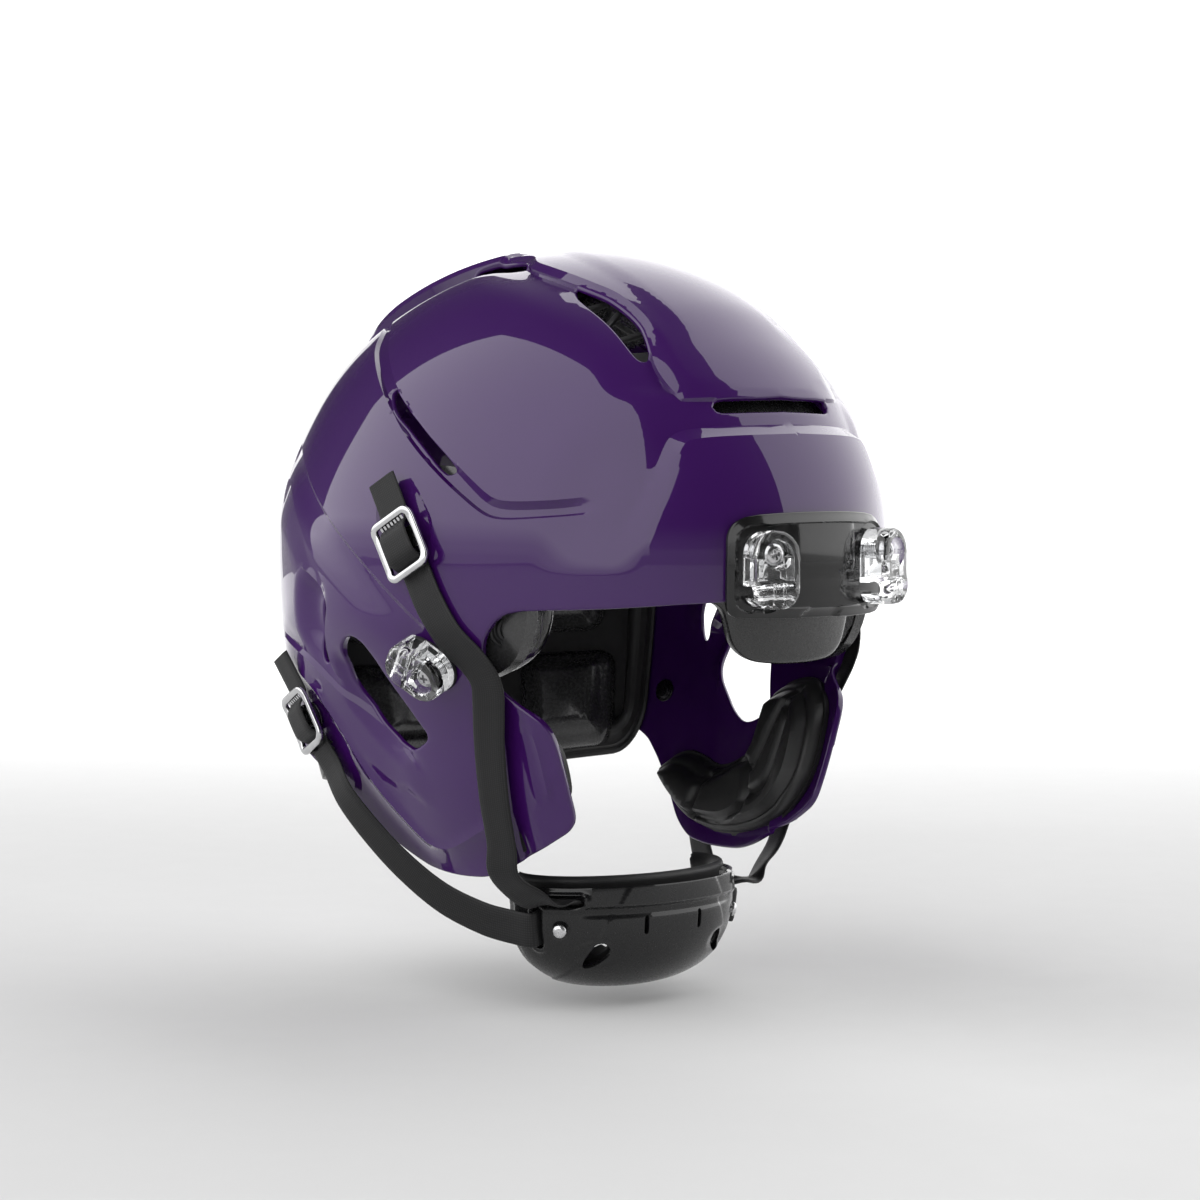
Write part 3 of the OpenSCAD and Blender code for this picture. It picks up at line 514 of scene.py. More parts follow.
# ---------------------------------------------------------------- meshes
def lift(kind, c):
    """A plane curve laid on the right side of the dome (x > 0 here, mirrored later)."""
    c = arr(c)
    if kind == "yz":
        return np.stack([side_x(c[:, 0], c[:, 1]), c[:, 0], c[:, 1]], 1)
    if kind == "xy":
        return np.stack([c[:, 0], c[:, 1], top_z(c[:, 0], c[:, 1])], 1)
    return np.stack([c[:, 0], -front_y(c[:, 0], c[:, 1]), c[:, 1]], 1)


def outline3(inset, step):
    """Lower edge of the shell's right half, from the front's middle to the back's."""
    c = resample(chaikin(PROFILE, 2), 0.05)
    c = offset(c, inset)
    ok = 1 - (c[:, 0] / _fy(c[:, 0], 0)) ** 2 - (c[:, 1] / 235.0) ** 2 > 2e-4
    c = c[ok]
    p = lift("yz", c)
    ends = []
    for e in (p[0], p[-1]):
        y = math.sqrt(1 - (e[2] / 235.0) ** 2) * (155.0 if e[1] < 0 else 145.0) * (-1 if e[1] < 0 else 1)
        ends.append((0.0, y, e[2]))
    p = np.vstack([ends[0], p, ends[1]])
    return resample(p, step)


def area2(p):
    p = arr(p)
    return 0.5 * float((p[:, 0] * np.roll(p[:, 1], -1) - np.roll(p[:, 0], -1) * p[:, 1]).sum())


def grow(poly, d):
    """Closed curve moved out by d."""
    s = -1.0 if area2(poly) > 0 else 1.0
    return offset(poly, s * d, True)


def ring_seeds(step):
    out = []
    e = 89.2
    odd = False
    while e > -78:
        r = 128.0 if e > 0 else 138.0
        de = math.degrees(step * 0.88 / r)
        c = math.cos(math.radians(e))
        n = max(3, int(math.pi * c * 136 / step))
        a = (np.arange(n) + (0.5 if odd else 0.0)) * 180.0 / n
        out.append(az_el(a, np.full(n, e)))
        e -= de
        odd = not odd
    return np.vstack(out)


def kd_of(p):
    t = KDTree(len(p))
    for i, v in enumerate(p):
        t.insert(v, i)
    t.balance()
    return t


def triangulate(loops, mid, lines, step, lead=0.62):
    """loops: closed 3-D loops, mid: first loop is open from front to back and closed by mid."""
    pts, edges = [], []

    def add(p, closed):
        a = len(pts)
        pts.extend(np.asarray(p).tolist())
        n = len(p)
        for i in range(n - 1):
            edges.append((a + i, a + i + 1))
        if closed:
            edges.append((a + n - 1, a))
        return range(a, a + n)

    idx = [add(lp["p"], lp["closed"]) for lp in loops]
    for m in mid:
        add(m, False)
    for ln in lines:
        if len(ln) > 1:
            add(ln, False)
    fixed = arr(pts)
    t = kd_of(fixed)
    sd = ring_seeds(step)
    keep = [i for i, v in enumerate(sd) if v[0] > 0.55 * step and t.find(v)[2] > lead * step]
    sd = sd[keep]
    allp = np.vstack([fixed, sd])
    q = to_q(allp)
    q[np.abs(allp[:, 0]) < 1e-6, 0] = 0.0
    res = delaunay_2d_cdt([Vector(v) for v in q.tolist()], edges, [], 0, 1e-7)
    vq = arr([tuple(v) for v in res[0]])
    tri = np.asarray([f for f in res[2] if len(f) == 3], int)
    cen = vq[tri].mean(1)
    dom = loops[0]["dom"]
    ok = inside(cen, dom)
    for lp in loops[1:]:
        ok &= ~inside(cen, lp["dom"])
    tri = tri[ok]
    a = vq[tri]
    ar = (a[:, 1, 0] - a[:, 0, 0]) * (a[:, 2, 1] - a[:, 0, 1]) - (a[:, 2, 0] - a[:, 0, 0]) * (a[:, 1, 1] - a[:, 0, 1])
    tri[ar < 0] = tri[ar < 0][:, ::-1]
    used, inv = np.unique(tri, return_inverse=True)
    tri = inv.reshape(-1, 3)
    vq = vq[used]
    base = from_q(vq)
    base[np.abs(vq[:, 0]) < 1e-9, 0] = 0.0
    return base, tri


def find_idx(base, p):
    t = kd_of(base)
    out = []
    bad = 0
    for v in p:
        _, i, d = t.find(v)
        bad += d > 0.05
        out.append(i)
    if bad:
        print("unmatched rim points", bad, "of", len(p))
    return np.asarray(out)


def mirror_mesh(base, tri):
    """Right half (x > 0) and its mirror, joined on x = 0. Returns verts, tris, index map of the mirror."""
    on = np.abs(base[:, 0]) < 1e-6
    n = len(base)
    mp = np.arange(n)
    rest = np.nonzero(~on)[0]
    mp[rest] = n + np.arange(len(rest))
    v = np.vstack([base, base[rest] * (-1, 1, 1)])
    t = np.vstack([tri, mp[tri][:, ::-1]])
    return v, t, mp


def mesh_obj(name, verts, faces, slot=None, smooth=True, sharp=None, scale=MM, mats=None, fmat=None):
    me = bpy.data.meshes.new(name)
    me.from_pydata((np.asarray(verts) * scale).tolist(), [], [tuple(int(k) for k in f) for f in faces])
    me.validate()
    if smooth:
        me.polygons.foreach_set("use_smooth", [True] * len(me.polygons))
        if sharp:
            me.set_sharp_from_angle(angle=math.radians(sharp))
    ob = bpy.data.objects.new(name, me)
    bpy.context.scene.collection.objects.link(ob)
    if slot:
        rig.slot(ob, slot)
    if fmat is not None:
        me.polygons.foreach_set("material_index", list(int(k) for k in fmat))
    me.update()
    return ob


def clean_line(p, loops_kd, dom, holes, gap):
    """Cut a 3-D line where it nears a rim or leaves the shell."""
    q = to_q(p)
    ok = inside(q, dom)
    for h in holes:
        ok &= ~inside(q, h)
    ok &= np.asarray([loops_kd.find(v)[2] > gap for v in p])
    ok &= p[:, 0] > 0.8
    out, cur = [], []
    for k, v in zip(ok, p):
        if k:
            cur.append(v)
        elif cur:
            out.append(arr(cur))
            cur = []
    if cur:
        out.append(arr(cur))
    return [c for c in out if len(c) > 2]


def relief_lines():
    L = []

    def put(kind, c, *offs, closed=False):
        for o in offs:
            k = offset(c, o, closed) if o else c
            if closed:
                k = np.vstack([k, k[:1]])
            L.append(lift(kind, resample(k, 1.35)))

    put("xy", S["ridge"], 0, -0.5)
    t = np.gradient(S["ridge"], axis=0)
    t /= np.linalg.norm(t, axis=1, keepdims=True)
    nl = np.stack([-t[:, 1], t[:, 0]], 1)
    L.append(lift("xy", resample(S["ridge"] - nl * ridge_w(S["ridge"][:, 1])[:, None], 1.35)))
    put("xy", S["crest"], 0, 7)
    w = brow_w(S["brow"][:, 1])
    t = np.gradient(S["brow"], axis=0)
    t /= np.linalg.norm(t, axis=1, keepdims=True)
    nl = np.stack([-t[:, 1], t[:, 0]], 1)
    put("xz", S["brow"], 0)
    L.append(lift("xz", resample(S["brow"] - nl * w[:, None], 1.35)))
    put("yz", S["gu"], 0, -0.8)
    y = S["gu"][:, 0]
    t = np.gradient(S["gu"], axis=0)
    t /= np.linalg.norm(t, axis=1, keepdims=True)
    nl = np.stack([-t[:, 1], t[:, 0]], 1)
    wu = np.clip(0.8 + (-18 - y) / 22, 0.8, 3.2)
    for kk in (0.5, 1.0):
        L.append(lift("yz", resample(S["gu"] + nl * (kk * wu)[:, None], 1.35)))
    put("yz", S["gl"], 0, -0.9)
    put("yz", S["cb"], 0, 2.6)
    put("yz", S["cb2"], 0, 2.0)
    put("yz", S["sf"], 0, 1.4)
    put("yz", S["ru"], 0, 1.5)
    put("yz", S["rl"], 0)
    put("yz", S["cl"], 0)
    put("yz", S["fl"], 0, -1.6)
    put("yz", S["fl2"], 0, 1.8, -1.8)
    put("yz", S["fl3"], 0, 1.8, -1.8)
    s1 = 1.0 if area2(S["snap"]) > 0 else -1.0
    for o in (0, 1.3):
        k = offset(S["snap"], s1 * o, True)
        k = np.vstack([k, k[:1]])
        L.append(lift("yz", resample(uv_yz(k), 1.3)))
    s1 = 1.0 if area2(S["lowp"]) > 0 else -1.0
    put("yz", S["lowp"], 0, s1 * 3.0, closed=True)
    for zz in (63.0, 62.1):
        L.append(lift("xz", resample([(1.0, zz), (46, zz)], 1.3)))
    return [k[np.isfinite(k).all(1)] for k in L]


RIM = 1.15


def build_shell():
    step = 2.05
    out = outline3(RIM, 1.6)
    loops = []
    mid_e = []
    dom = np.vstack([to_q(out), to_q(az_el(np.full(60, 180.0), np.linspace(-38, 89.9, 60)))[:0]])
    loops.append(dict(p=out, closed=False, dom=to_q(out)))
    # the first loop's region is closed along x = 0 (a straight line in q)
    for kind, c in HOLES:
        c3 = lift(kind, resample(grow(c, RIM), 1.6, True))
        loops.append(dict(p=c3, closed=True, dom=to_q(c3)))
    fs = resample(chaikin(FRONT_SLOT, 2), 1.5)
    fs = fs.copy()
    top, bot = fs[0, 1], fs[-1, 1]
    fs = offset(fs, RIM * (1 if area2(fs) < 0 else -1))
    fs[0, 0] = fs[-1, 0] = 0.0
    f3 = lift("xz", fs)
    loops.append(dict(p=f3, closed=False, dom=to_q(f3)))
    zt, zb = max(fs[0, 1], fs[-1, 1]), min(fs[0, 1], fs[-1, 1])

    def midline(a, b, n):
        """Points on x = 0 between two directions."""
        e = np.linspace(a, b, n + 1)
        d = np.stack([0 * e, -np.cos(e), np.sin(e)], 1)
        p = from_dir(d)
        p[:, 0] = 0
        return p

    def ang(p):
        d = p / np.linalg.norm(p)
        return math.atan2(d[2], -d[1])

    a0 = ang(out[0])
    a3 = ang(out[-1])
    if a3 < 0:
        a3 += 2 * math.pi
    pb, pt = (f3[0], f3[-1]) if f3[0][2] < f3[-1][2] else (f3[-1], f3[0])
    m1 = midline(a0, ang(pb), int(75 / 2))
    m2 = midline(ang(pt), a3, int(300 / 2))
    m1[0], m1[-1] = out[0], pb
    m2[0], m2[-1] = pt, out[-1]
    allp = np.vstack([lp["p"] for lp in loops])
    kd = kd_of(allp)
    lines = []
    for ln in relief_lines():
        lines += clean_line(ln, kd, loops[0]["dom"], [lp["dom"] for lp in loops[1:]], 0.45)
    ob, ot = triangulate(loops, [m1, m2], lines, step)
    ib, it = triangulate(loops, [m1, m2], [], 4.6)
    print("shell tris", len(ot), len(it))
    oi = [find_idx(ob, lp["p"]) for lp in loops]
    ii = [find_idx(ib, lp["p"]) for lp in loops]
    ov, otr, om = mirror_mesh(ob, ot)
    iv, itr, im = mirror_mesh(ib, it)
    hn = out_n(ov)
    hh = relief(ov)
    V = [ov + hn * hh[:, None]]
    F = [otr]
    n0 = len(ov)
    inn = out_n(iv)
    hi = np.minimum(-4.0, relief(iv) - 2.6)
    V.append(iv + inn * hi[:, None])
    F.append(itr[:, ::-1] + n0)
    nv = n0 + len(iv)
    quads = []
    extra = []
    # closed rims
    rims = []
    full = np.r_[oi[0], om[oi[0]][-2:0:-1]]
    fulli = np.r_[ii[0], im[ii[0]][-2:0:-1]]
    rims.append((full, fulli))
    for k in range(1, len(loops) - 1):
        rims.append((oi[k], ii[k]))
        rims.append((om[oi[k]][::-1], im[ii[k]][::-1]))
    k = len(loops) - 1
    rims.append((np.r_[oi[k], om[oi[k]][-2:0:-1]], np.r_[ii[k], im[ii[k]][-2:0:-1]]))
    # which way is out of the material: from the edge's own triangle
    he = {}
    for t in otr:
        for a, b in ((t[0], t[1]), (t[1], t[2]), (t[2], t[0])):
            he[(int(a), int(b))] = 1
    for lo, li in rims:
        if (int(lo[0]), int(lo[1])) not in he:
            lo, li = lo[::-1], li[::-1]
        P = V[0][lo]
        N = hn[lo]
        T = np.roll(P, -1, 0) - np.roll(P, 1, 0)
        T /= np.linalg.norm(T, axis=1, keepdims=True)
        B = np.cross(T, N)
        B /= np.linalg.norm(B, axis=1, keepdims=True)
        Q = V[1][li]
        rings = []
        for ph in (18, 36, 54, 72, 90):
            a = math.radians(ph)
            rings.append(P + B * RIM * math.sin(a) - N * RIM * (1 - math.cos(a)))
        r2 = 0.8
        for ph in (90, 72, 54, 36, 18):
            a = math.radians(ph)
            rings.append(Q + B * (RIM - r2 + r2 * math.sin(a)) + N * r2 * (1 - math.cos(a)))
        n = len(lo)
        prev = lo
        for r in rings:
            idx = nv + np.arange(n)
            extra.append(r)
            nv += n
            quads.append(np.stack([prev, idx, np.roll(idx, -1), np.roll(prev, -1)], 1))
            prev = idx
        idx = li + n0
        quads.append(np.stack([prev, idx, np.roll(idx, -1), np.roll(prev, -1)], 1))
    V = np.vstack(V + extra)
    F = [tuple(f) for f in np.vstack(F)] + [tuple(f) for f in np.vstack(quads)]
    return mesh_obj("shell_coat", V, F, "shell", True, 21)


# ---------------------------------------------------------------- building tools (millimetres, right side is -X)
class Fr:
    """A local frame: origin and three axes."""

    def __init__(self, o, x, y, z):
        self.o = arr(o)
        self.m = np.stack([arr(x), arr(y), arr(z)])

    def at(self, p):
        return self.o + arr(p) @ self.m


def unit(v):
    v = arr(v)
    return v / np.linalg.norm(v, axis=-1, keepdims=True)


def flip(vf):
    v, f = vf[0] * (-1, 1, 1), [tuple(t[::-1]) for t in vf[1]]
    return (v, f) + tuple(vf[2:])


def put_side(p, g):
    return np.stack([-side_x(p[:, 0], p[:, 1], 0), p[:, 0], p[:, 1]], 1) * 1.0 + _side_in(p, g)


def _side_in(p, g):
    """Step off the side of the dome by g, towards its middle."""
    a = side_x(p[:, 0], p[:, 1], 0)
    b = np.where(np.asarray(g) < 0, 1, 1) * side_x_off(p[:, 0], p[:, 1], g)
    return np.stack([-(b - a), 0 * a, 0 * a], 1)


def side_x_off(y, z, g):
    g = np.broadcast_to(np.asarray(g, float), np.shape(y))
    fy = np.where(y < 0, 155.0, 145.0) + g
    cz = np.where(z > 0, 127.7, 235.0) + g
    return (120 + g) * draw_in(y, z) * np.sqrt(np.maximum(1e-3, 1 - (y / fy) ** 2 - (z / cz) ** 2))


def put_front(p, g):
    g = np.broadcast_to(np.asarray(g, float), p[:, 0].shape)
    x, z = p[:, 0], p[:, 1]
    cz = np.where(z > 0, 127.7, 235.0) + g
    return np.stack([x, -(155 + g) * np.sqrt(np.maximum(1e-3, 1 - (x / (120 + g)) ** 2 - (z / cz) ** 2)), z], 1)


def put_normal(side):
    """Step along the dome's own normal."""
    def f(p, g):
        g = np.broadcast_to(np.asarray(g, float), p[:, 0].shape)
        if side == "side":
            b = np.stack([-side_x(p[:, 0], p[:, 1]), p[:, 0], p[:, 1]], 1)
        else:
            b = np.stack([p[:, 0], -front_y(p[:, 0], p[:, 1]), p[:, 1]], 1)
        return b + out_n(b) * g[:, None]
    return f


def put_back(az0, el0, r=128.0):
    """Plane millimetres to the dome round a direction."""
    k = math.degrees(1 / r)
    c = math.cos(math.radians(el0))

    def f(p, g):
        g = np.broadcast_to(np.asarray(g, float), p[:, 0].shape)
        b = az_el(az0 + p[:, 0] * k / c, el0 + p[:, 1] * k)
        return b + out_n(b) * g[:, None]
    return f


def edge_round(d, r):
    d = np.clip(d, 0, r)
    return r - np.sqrt(np.maximum(0, r * r - (r - d) ** 2))


def rings_for(r):
    return [r * (1 - math.cos(math.radians(a))) for a in (22, 42, 62, 80)]


def slab(outline, put, top, bot, rings=(), step=3.0, lines=(), wall=1, uvs=False):
    """Closed body over a plane outline. top and bot give heights from (points, distance from the edge)."""
    o = resample(outline, step * 0.7, True)
    if area2(o) < 0:
        o = o[::-1].copy()
    n = len(o)
    pts = o.tolist()
    edges = [(i, (i + 1) % n) for i in range(n)]
    for r in rings:
        k = offset(o, r, True)
        sd = sdpoly(k, o)
        ok = sd > r * 0.93 - 0.02
        a = len(pts)
        ids = np.full(n, -1)
        for i in range(n):
            if ok[i]:
                ids[i] = len(pts)
                pts.append(k[i].tolist())
        for i in range(n):
            j = (i + 1) % n
            if ids[i] >= 0 and ids[j] >= 0:
                edges.append((int(ids[i]), int(ids[j])))
    for ln in lines:
        ln = resample(ln, step * 0.6)
        ok = sdpoly(ln, o) > 0.35
        prev = -1
        for i in range(len(ln)):
            if ok[i]:
                pts.append(ln[i].tolist())
                if prev >= 0:
                    edges.append((prev, len(pts) - 1))
                prev = len(pts) - 1
            else:
                prev = -1
    fixed = arr(pts)
    lo, hi = o.min(0), o.max(0)
    gx = np.arange(lo[0], hi[0], step)
    gy = np.arange(lo[1], hi[1], step * 0.866)
    sd = arr([(x + (step / 2 if j % 2 else 0), y) for j, y in enumerate(gy) for x in gx])
    rmax = max(rings) if len(rings) else 0
    dd = sdpoly(sd, o)
    sd = sd[dd > rmax + 0.45 * step]
    t = KDTree(len(fixed))
    for i, v in enumerate(fixed):
        t.insert((v[0], v[1], 0), i)
    t.balance()
    sd = arr([v for v in sd if t.find((v[0], v[1], 0))[2] > 0.6 * step]).reshape(-1, 2)
    res = delaunay_2d_cdt([Vector(v) for v in np.vstack([fixed, sd]).tolist()], edges, [], 0, 1e-6)
    v2 = arr([tuple(v) for v in res[0]])
    tri = np.asarray([f for f in res[2] if len(f) == 3], int)
    tri = tri[inside(v2[tri].mean(1), o)]
    a = v2[tri]
    ar = (a[:, 1, 0] - a[:, 0, 0]) * (a[:, 2, 1] - a[:, 0, 1]) - (a[:, 2, 0] - a[:, 0, 0]) * (a[:, 1, 1] - a[:, 0, 1])
    tri[ar < 0] = tri[ar < 0][:, ::-1]
    tri = tri[np.abs(ar) > 1e-9]
    used, inv = np.unique(tri, return_inverse=True)
    tri, v2 = inv.reshape(-1, 3), v2[used]
    kd = KDTree(len(v2))
    for i, v in enumerate(v2):
        kd.insert((v[0], v[1], 0), i)
    kd.balance()
    rim = np.asarray([kd.find((v[0], v[1], 0))[1] for v in o])
    d = np.maximum(0, sdpoly(v2, o))
    d[rim] = 0
    gt, gb = top(v2, d), bot(v2, d)
    gt = np.broadcast_to(np.asarray(gt, float), d.shape)
    gb = np.broadcast_to(np.asarray(gb, float), d.shape)
    T, B = put(v2, gt), put(v2, gb)
    m = len(v2)
    V = [T, B]
    nv = 2 * m
    F = [tuple(f) for f in tri] + [tuple(f[::-1] + m) for f in tri]
    prev = rim
    for k in range(1, wall + 1):
        if k < wall:
            g = gt[rim] + (gb[rim] - gt[rim]) * k / wall
            V.append(put(v2[rim], g))
            idx = nv + np.arange(n)
            nv += n
        else:
            idx = rim + m
        nx = np.roll(prev, -1)
        ny = np.roll(idx, -1)
        F += [(int(a), int(c), int(e), int(b)) for a, b, c, e in zip(prev, nx, idx, ny)]
        prev = idx
    V = np.vstack(V)
    # outward faces: the top must look away from the bottom
    t = tri[len(tri) // 2]
    nn = np.cross(T[t[1]] - T[t[0]], T[t[2]] - T[t[0]])
    if nn @ (T[t].mean(0) - B[t].mean(0)) < 0:
        F = [f[::-1] for f in F]
    return V, F


def lathe(prof, seg=48, fr=None):
    """Turned body from (r, z) points; r = 0 at both ends closes it."""
    prof = arr(prof)
    V, rows = [], []
    for r, z in prof:
        if r < 1e-6:
            rows.append([len(V)])
            V.append((0, 0, z))
        else:
            rows.append(list(range(len(V), len(V) + seg)))
            for i in range(seg):
                a = 2 * math.pi * i / seg
                V.append((r * math.cos(a), r * math.sin(a), z))
    F = []
    closed = prof[0][0] > 1e-6 and np.allclose(prof[0], prof[-1]) is False and prof[-1][0] > 1e-6
    pairs = list(zip(rows, rows[1:]))
    if closed:
        pairs.append((rows[-1], rows[0]))
    for a, b in pairs:
        for i in range(seg):
            j = (i + 1) % seg
            if len(a) == 1 and len(b) == 1:
                continue
            if len(a) == 1:
                F.append((a[0], b[j], b[i]))
            elif len(b) == 1:
                F.append((a[i], a[j], b[0]))
            else:
                F.append((a[i], a[j], b[j], b[i]))
    V = arr(V)
    # signed volume decides the turn
    vol = 0.0
    for f in F:
        for k in range(1, len(f) - 1):
            vol += V[f[0]] @ np.cross(V[f[k]], V[f[k + 1]])
    if vol < 0:
        F = [f[::-1] for f in F]
    if fr is not None:
        V = fr.at(V)
        if np.linalg.det(fr.m) < 0:
            F = [f[::-1] for f in F]
    return V, F


def round_prof(pts, r, k=4):
    """Profile with its inner corners rounded by r (one value or one for each point)."""
    pts = arr(pts)
    rr = [r] * len(pts) if np.isscalar(r) else list(r)
    out = [pts[0]]
    for i in range(1, len(pts) - 1):
        a, b, c = pts[i - 1], pts[i], pts[i + 1]
        u, v = a - b, c - b
        lu, lv = np.linalg.norm(u), np.linalg.norm(v)
        q = min(rr[i], lu * 0.48, lv * 0.48)
        if q < 1e-3:
            out.append(b)
            continue
        p0, p1 = b + u / lu * q, b + v / lv * q
        for s in np.linspace(0, 1, k + 1):
            out.append((1 - s) ** 2 * p0 + 2 * s * (1 - s) * b + s * s * p1)
    out.append(pts[-1])
    return arr(out)


def catmull(p, k):
    p = arr(p)
    n = len(p)
    out = []
    for i in range(n - 1):
        a, b, c, d = p[max(0, i - 1)], p[i], p[i + 1], p[min(n - 1, i + 2)]
        for s in range(k):
            t = s / k
            out.append(0.5 * (2 * b + (c - a) * t + (2 * a - 5 * b + 4 * c - d) * t * t + (3 * b - a - 3 * c + d) * t ** 3))
    out.append(p[-1])
    return arr(out)


def tube_mesh(P, B, M, sec, closed):
    """Section points (b, m) swept along P. Returns verts and faces; ends capped when open."""
    n, s = len(P), len(sec)
    V = np.vstack([P[i] + np.outer(sec[:, 0], B[i]) + np.outer(sec[:, 1], M[i]) for i in range(n)])
    F = []
    for i in range(n if closed else n - 1):
        j = (i + 1) % n
        for c in range(s):
            d = (c + 1) % s
            F.append((s * i + c, s * i + d, s * j + d, s * j + c))
    if not closed:
        F.append(tuple(range(s))[::-1])
        F.append(tuple(range(s * (n - 1), s * n)))
    vol = 0.0
    c0 = V.mean(0)
    for f in F:
        a = V[f[0]] - c0
        for k in range(1, len(f) - 1):
            vol += a @ np.cross(V[f[k]] - c0, V[f[k + 1]] - c0)
    if vol < 0:
        F = [f[::-1] for f in F]
    return V, F


def joined(*parts):
    V, F, n = [], [], 0
    for v, f in parts:
        V.append(v)
        F += [tuple(int(k) + n for k in t) for t in f]
        n += len(v)
    return np.vstack(V), F


def boolean(ob, cutters, op="DIFFERENCE"):
    for c in cutters:
        m = ob.modifiers.new("cut", "BOOLEAN")
        m.operation = op
        m.solver = "EXACT"
        m.object = c
    bpy.context.view_layer.update()
    dg = bpy.context.evaluated_depsgraph_get()
    me = bpy.data.meshes.new_from_object(ob.evaluated_get(dg))
    ob.modifiers.clear()
    old = ob.data
    ob.data = me
    bpy.data.meshes.remove(old)
    for c in cutters:
        d = c.data
        bpy.data.objects.remove(c)
        bpy.data.meshes.remove(d)
    return ob


def bevel(ob, width, seg=2, angle=35):
    m = ob.modifiers.new("bevel", "BEVEL")
    m.width = width * MM
    m.segments = seg
    m.limit_method = "ANGLE"
    m.angle_limit = math.radians(angle)
    m.harden_normals = False
    bpy.context.view_layer.update()
    dg = bpy.context.evaluated_depsgraph_get()
    me = bpy.data.meshes.new_from_object(ob.evaluated_get(dg))
    ob.modifiers.clear()
    old = ob.data
    ob.data = me
    bpy.data.meshes.remove(old)
    return ob


def smooth(ob, sharp=40):
    ob.data.polygons.foreach_set("use_smooth", [True] * len(ob.data.polygons))
    ob.data.set_sharp_from_angle(angle=math.radians(sharp))
    ob.data.update()
    return ob


def paint(ob, material):
    ob.data.materials.clear()
    ob.data.materials.append(material)
    return ob


def piece(name, vf, slot, material, body="helmet", rep=None, sharp=40, pad=None):
    ob = mesh_obj(name, vf[0], vf[1], slot, True, sharp)
    paint(ob, material)
    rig.ride(ob, body)
    if rep:
        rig.replaces(ob, *([rep] if isinstance(rep, str) else rep))
    if pad is not None:
        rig.padded(ob, pad)
    return ob


# ---------------------------------------------------------------- finishes
def _new(name):
    m = bpy.data.materials.new(name)
    m.use_nodes = True
    nt = m.node_tree
    return m, nt, nt.nodes["Principled BSDF"]


def finish_mat(name, base, dark=None, rough=0.35, rvar=0.08, metal=0.0, spec=0.5, coat=0.0, coat_rough=0.04, grain=900.0, bump=0.03, bdist=0.05, patch=60.0, mix=0.5, fine=None, sheen=0.0, trans=0.0, ior=None):
    """Two-scale procedural finish: a slow tone drift, a fine grain in roughness, and a bump."""
    m, nt, b = _new(name)
    N, L = nt.nodes, nt.links
    tc = N.new("ShaderNodeTexCoord")
    n1 = N.new("ShaderNodeTexNoise")
    n1.inputs["Scale"].default_value = patch
    n1.inputs["Detail"].default_value = 4
    n2 = N.new("ShaderNodeTexNoise")
    n2.inputs["Scale"].default_value = grain
    n2.inputs["Detail"].default_value = 2
    L.new(tc.outputs["Object"], n1.inputs["Vector"])
    L.new(tc.outputs["Object"], n2.inputs["Vector"])
    cr = N.new("ShaderNodeValToRGB")
    dark = dark or tuple(c * 0.72 for c in base)
    cr.color_ramp.elements[0].position = 0.30
    cr.color_ramp.elements[0].color = (*dark, 1)
    cr.color_ramp.elements[1].position = 0.70
    cr.color_ramp.elements[1].color = (*base, 1)
    L.new(n1.outputs["Fac"], cr.inputs["Fac"])
    L.new(cr.outputs["Color"], b.inputs["Base Color"])
    mr = N.new("ShaderNodeMapRange")
    mr.inputs["From Min"].default_value = 0.3
    mr.inputs["From Max"].default_value = 0.7
    mr.inputs["To Min"].default_value = max(0.0, rough - rvar)
    mr.inputs["To Max"].default_value = rough + rvar
    L.new(n2.outputs["Fac"], mr.inputs["Value"])
    L.new(mr.outputs["Result"], b.inputs["Roughness"])
    bp = N.new("ShaderNodeBump")
    bp.inputs["Strength"].default_value = bump
    bp.inputs["Distance"].default_value = bdist * MM
    L.new((fine or n2).outputs["Fac"], bp.inputs["Height"])
    L.new(bp.outputs["Normal"], b.inputs["Normal"])
    b.inputs["Metallic"].default_value = metal
    b.inputs["Specular IOR Level"].default_value = spec
    b.inputs["Coat Weight"].default_value = coat
    b.inputs["Coat Roughness"].default_value = coat_rough
    if sheen:
        b.inputs["Sheen Weight"].default_value = sheen
        b.inputs["Sheen Roughness"].default_value = 0.5
    if trans:
        b.inputs["Transmission Weight"].default_value = trans
    if ior:
        b.inputs["IOR"].default_value = ior
    return m


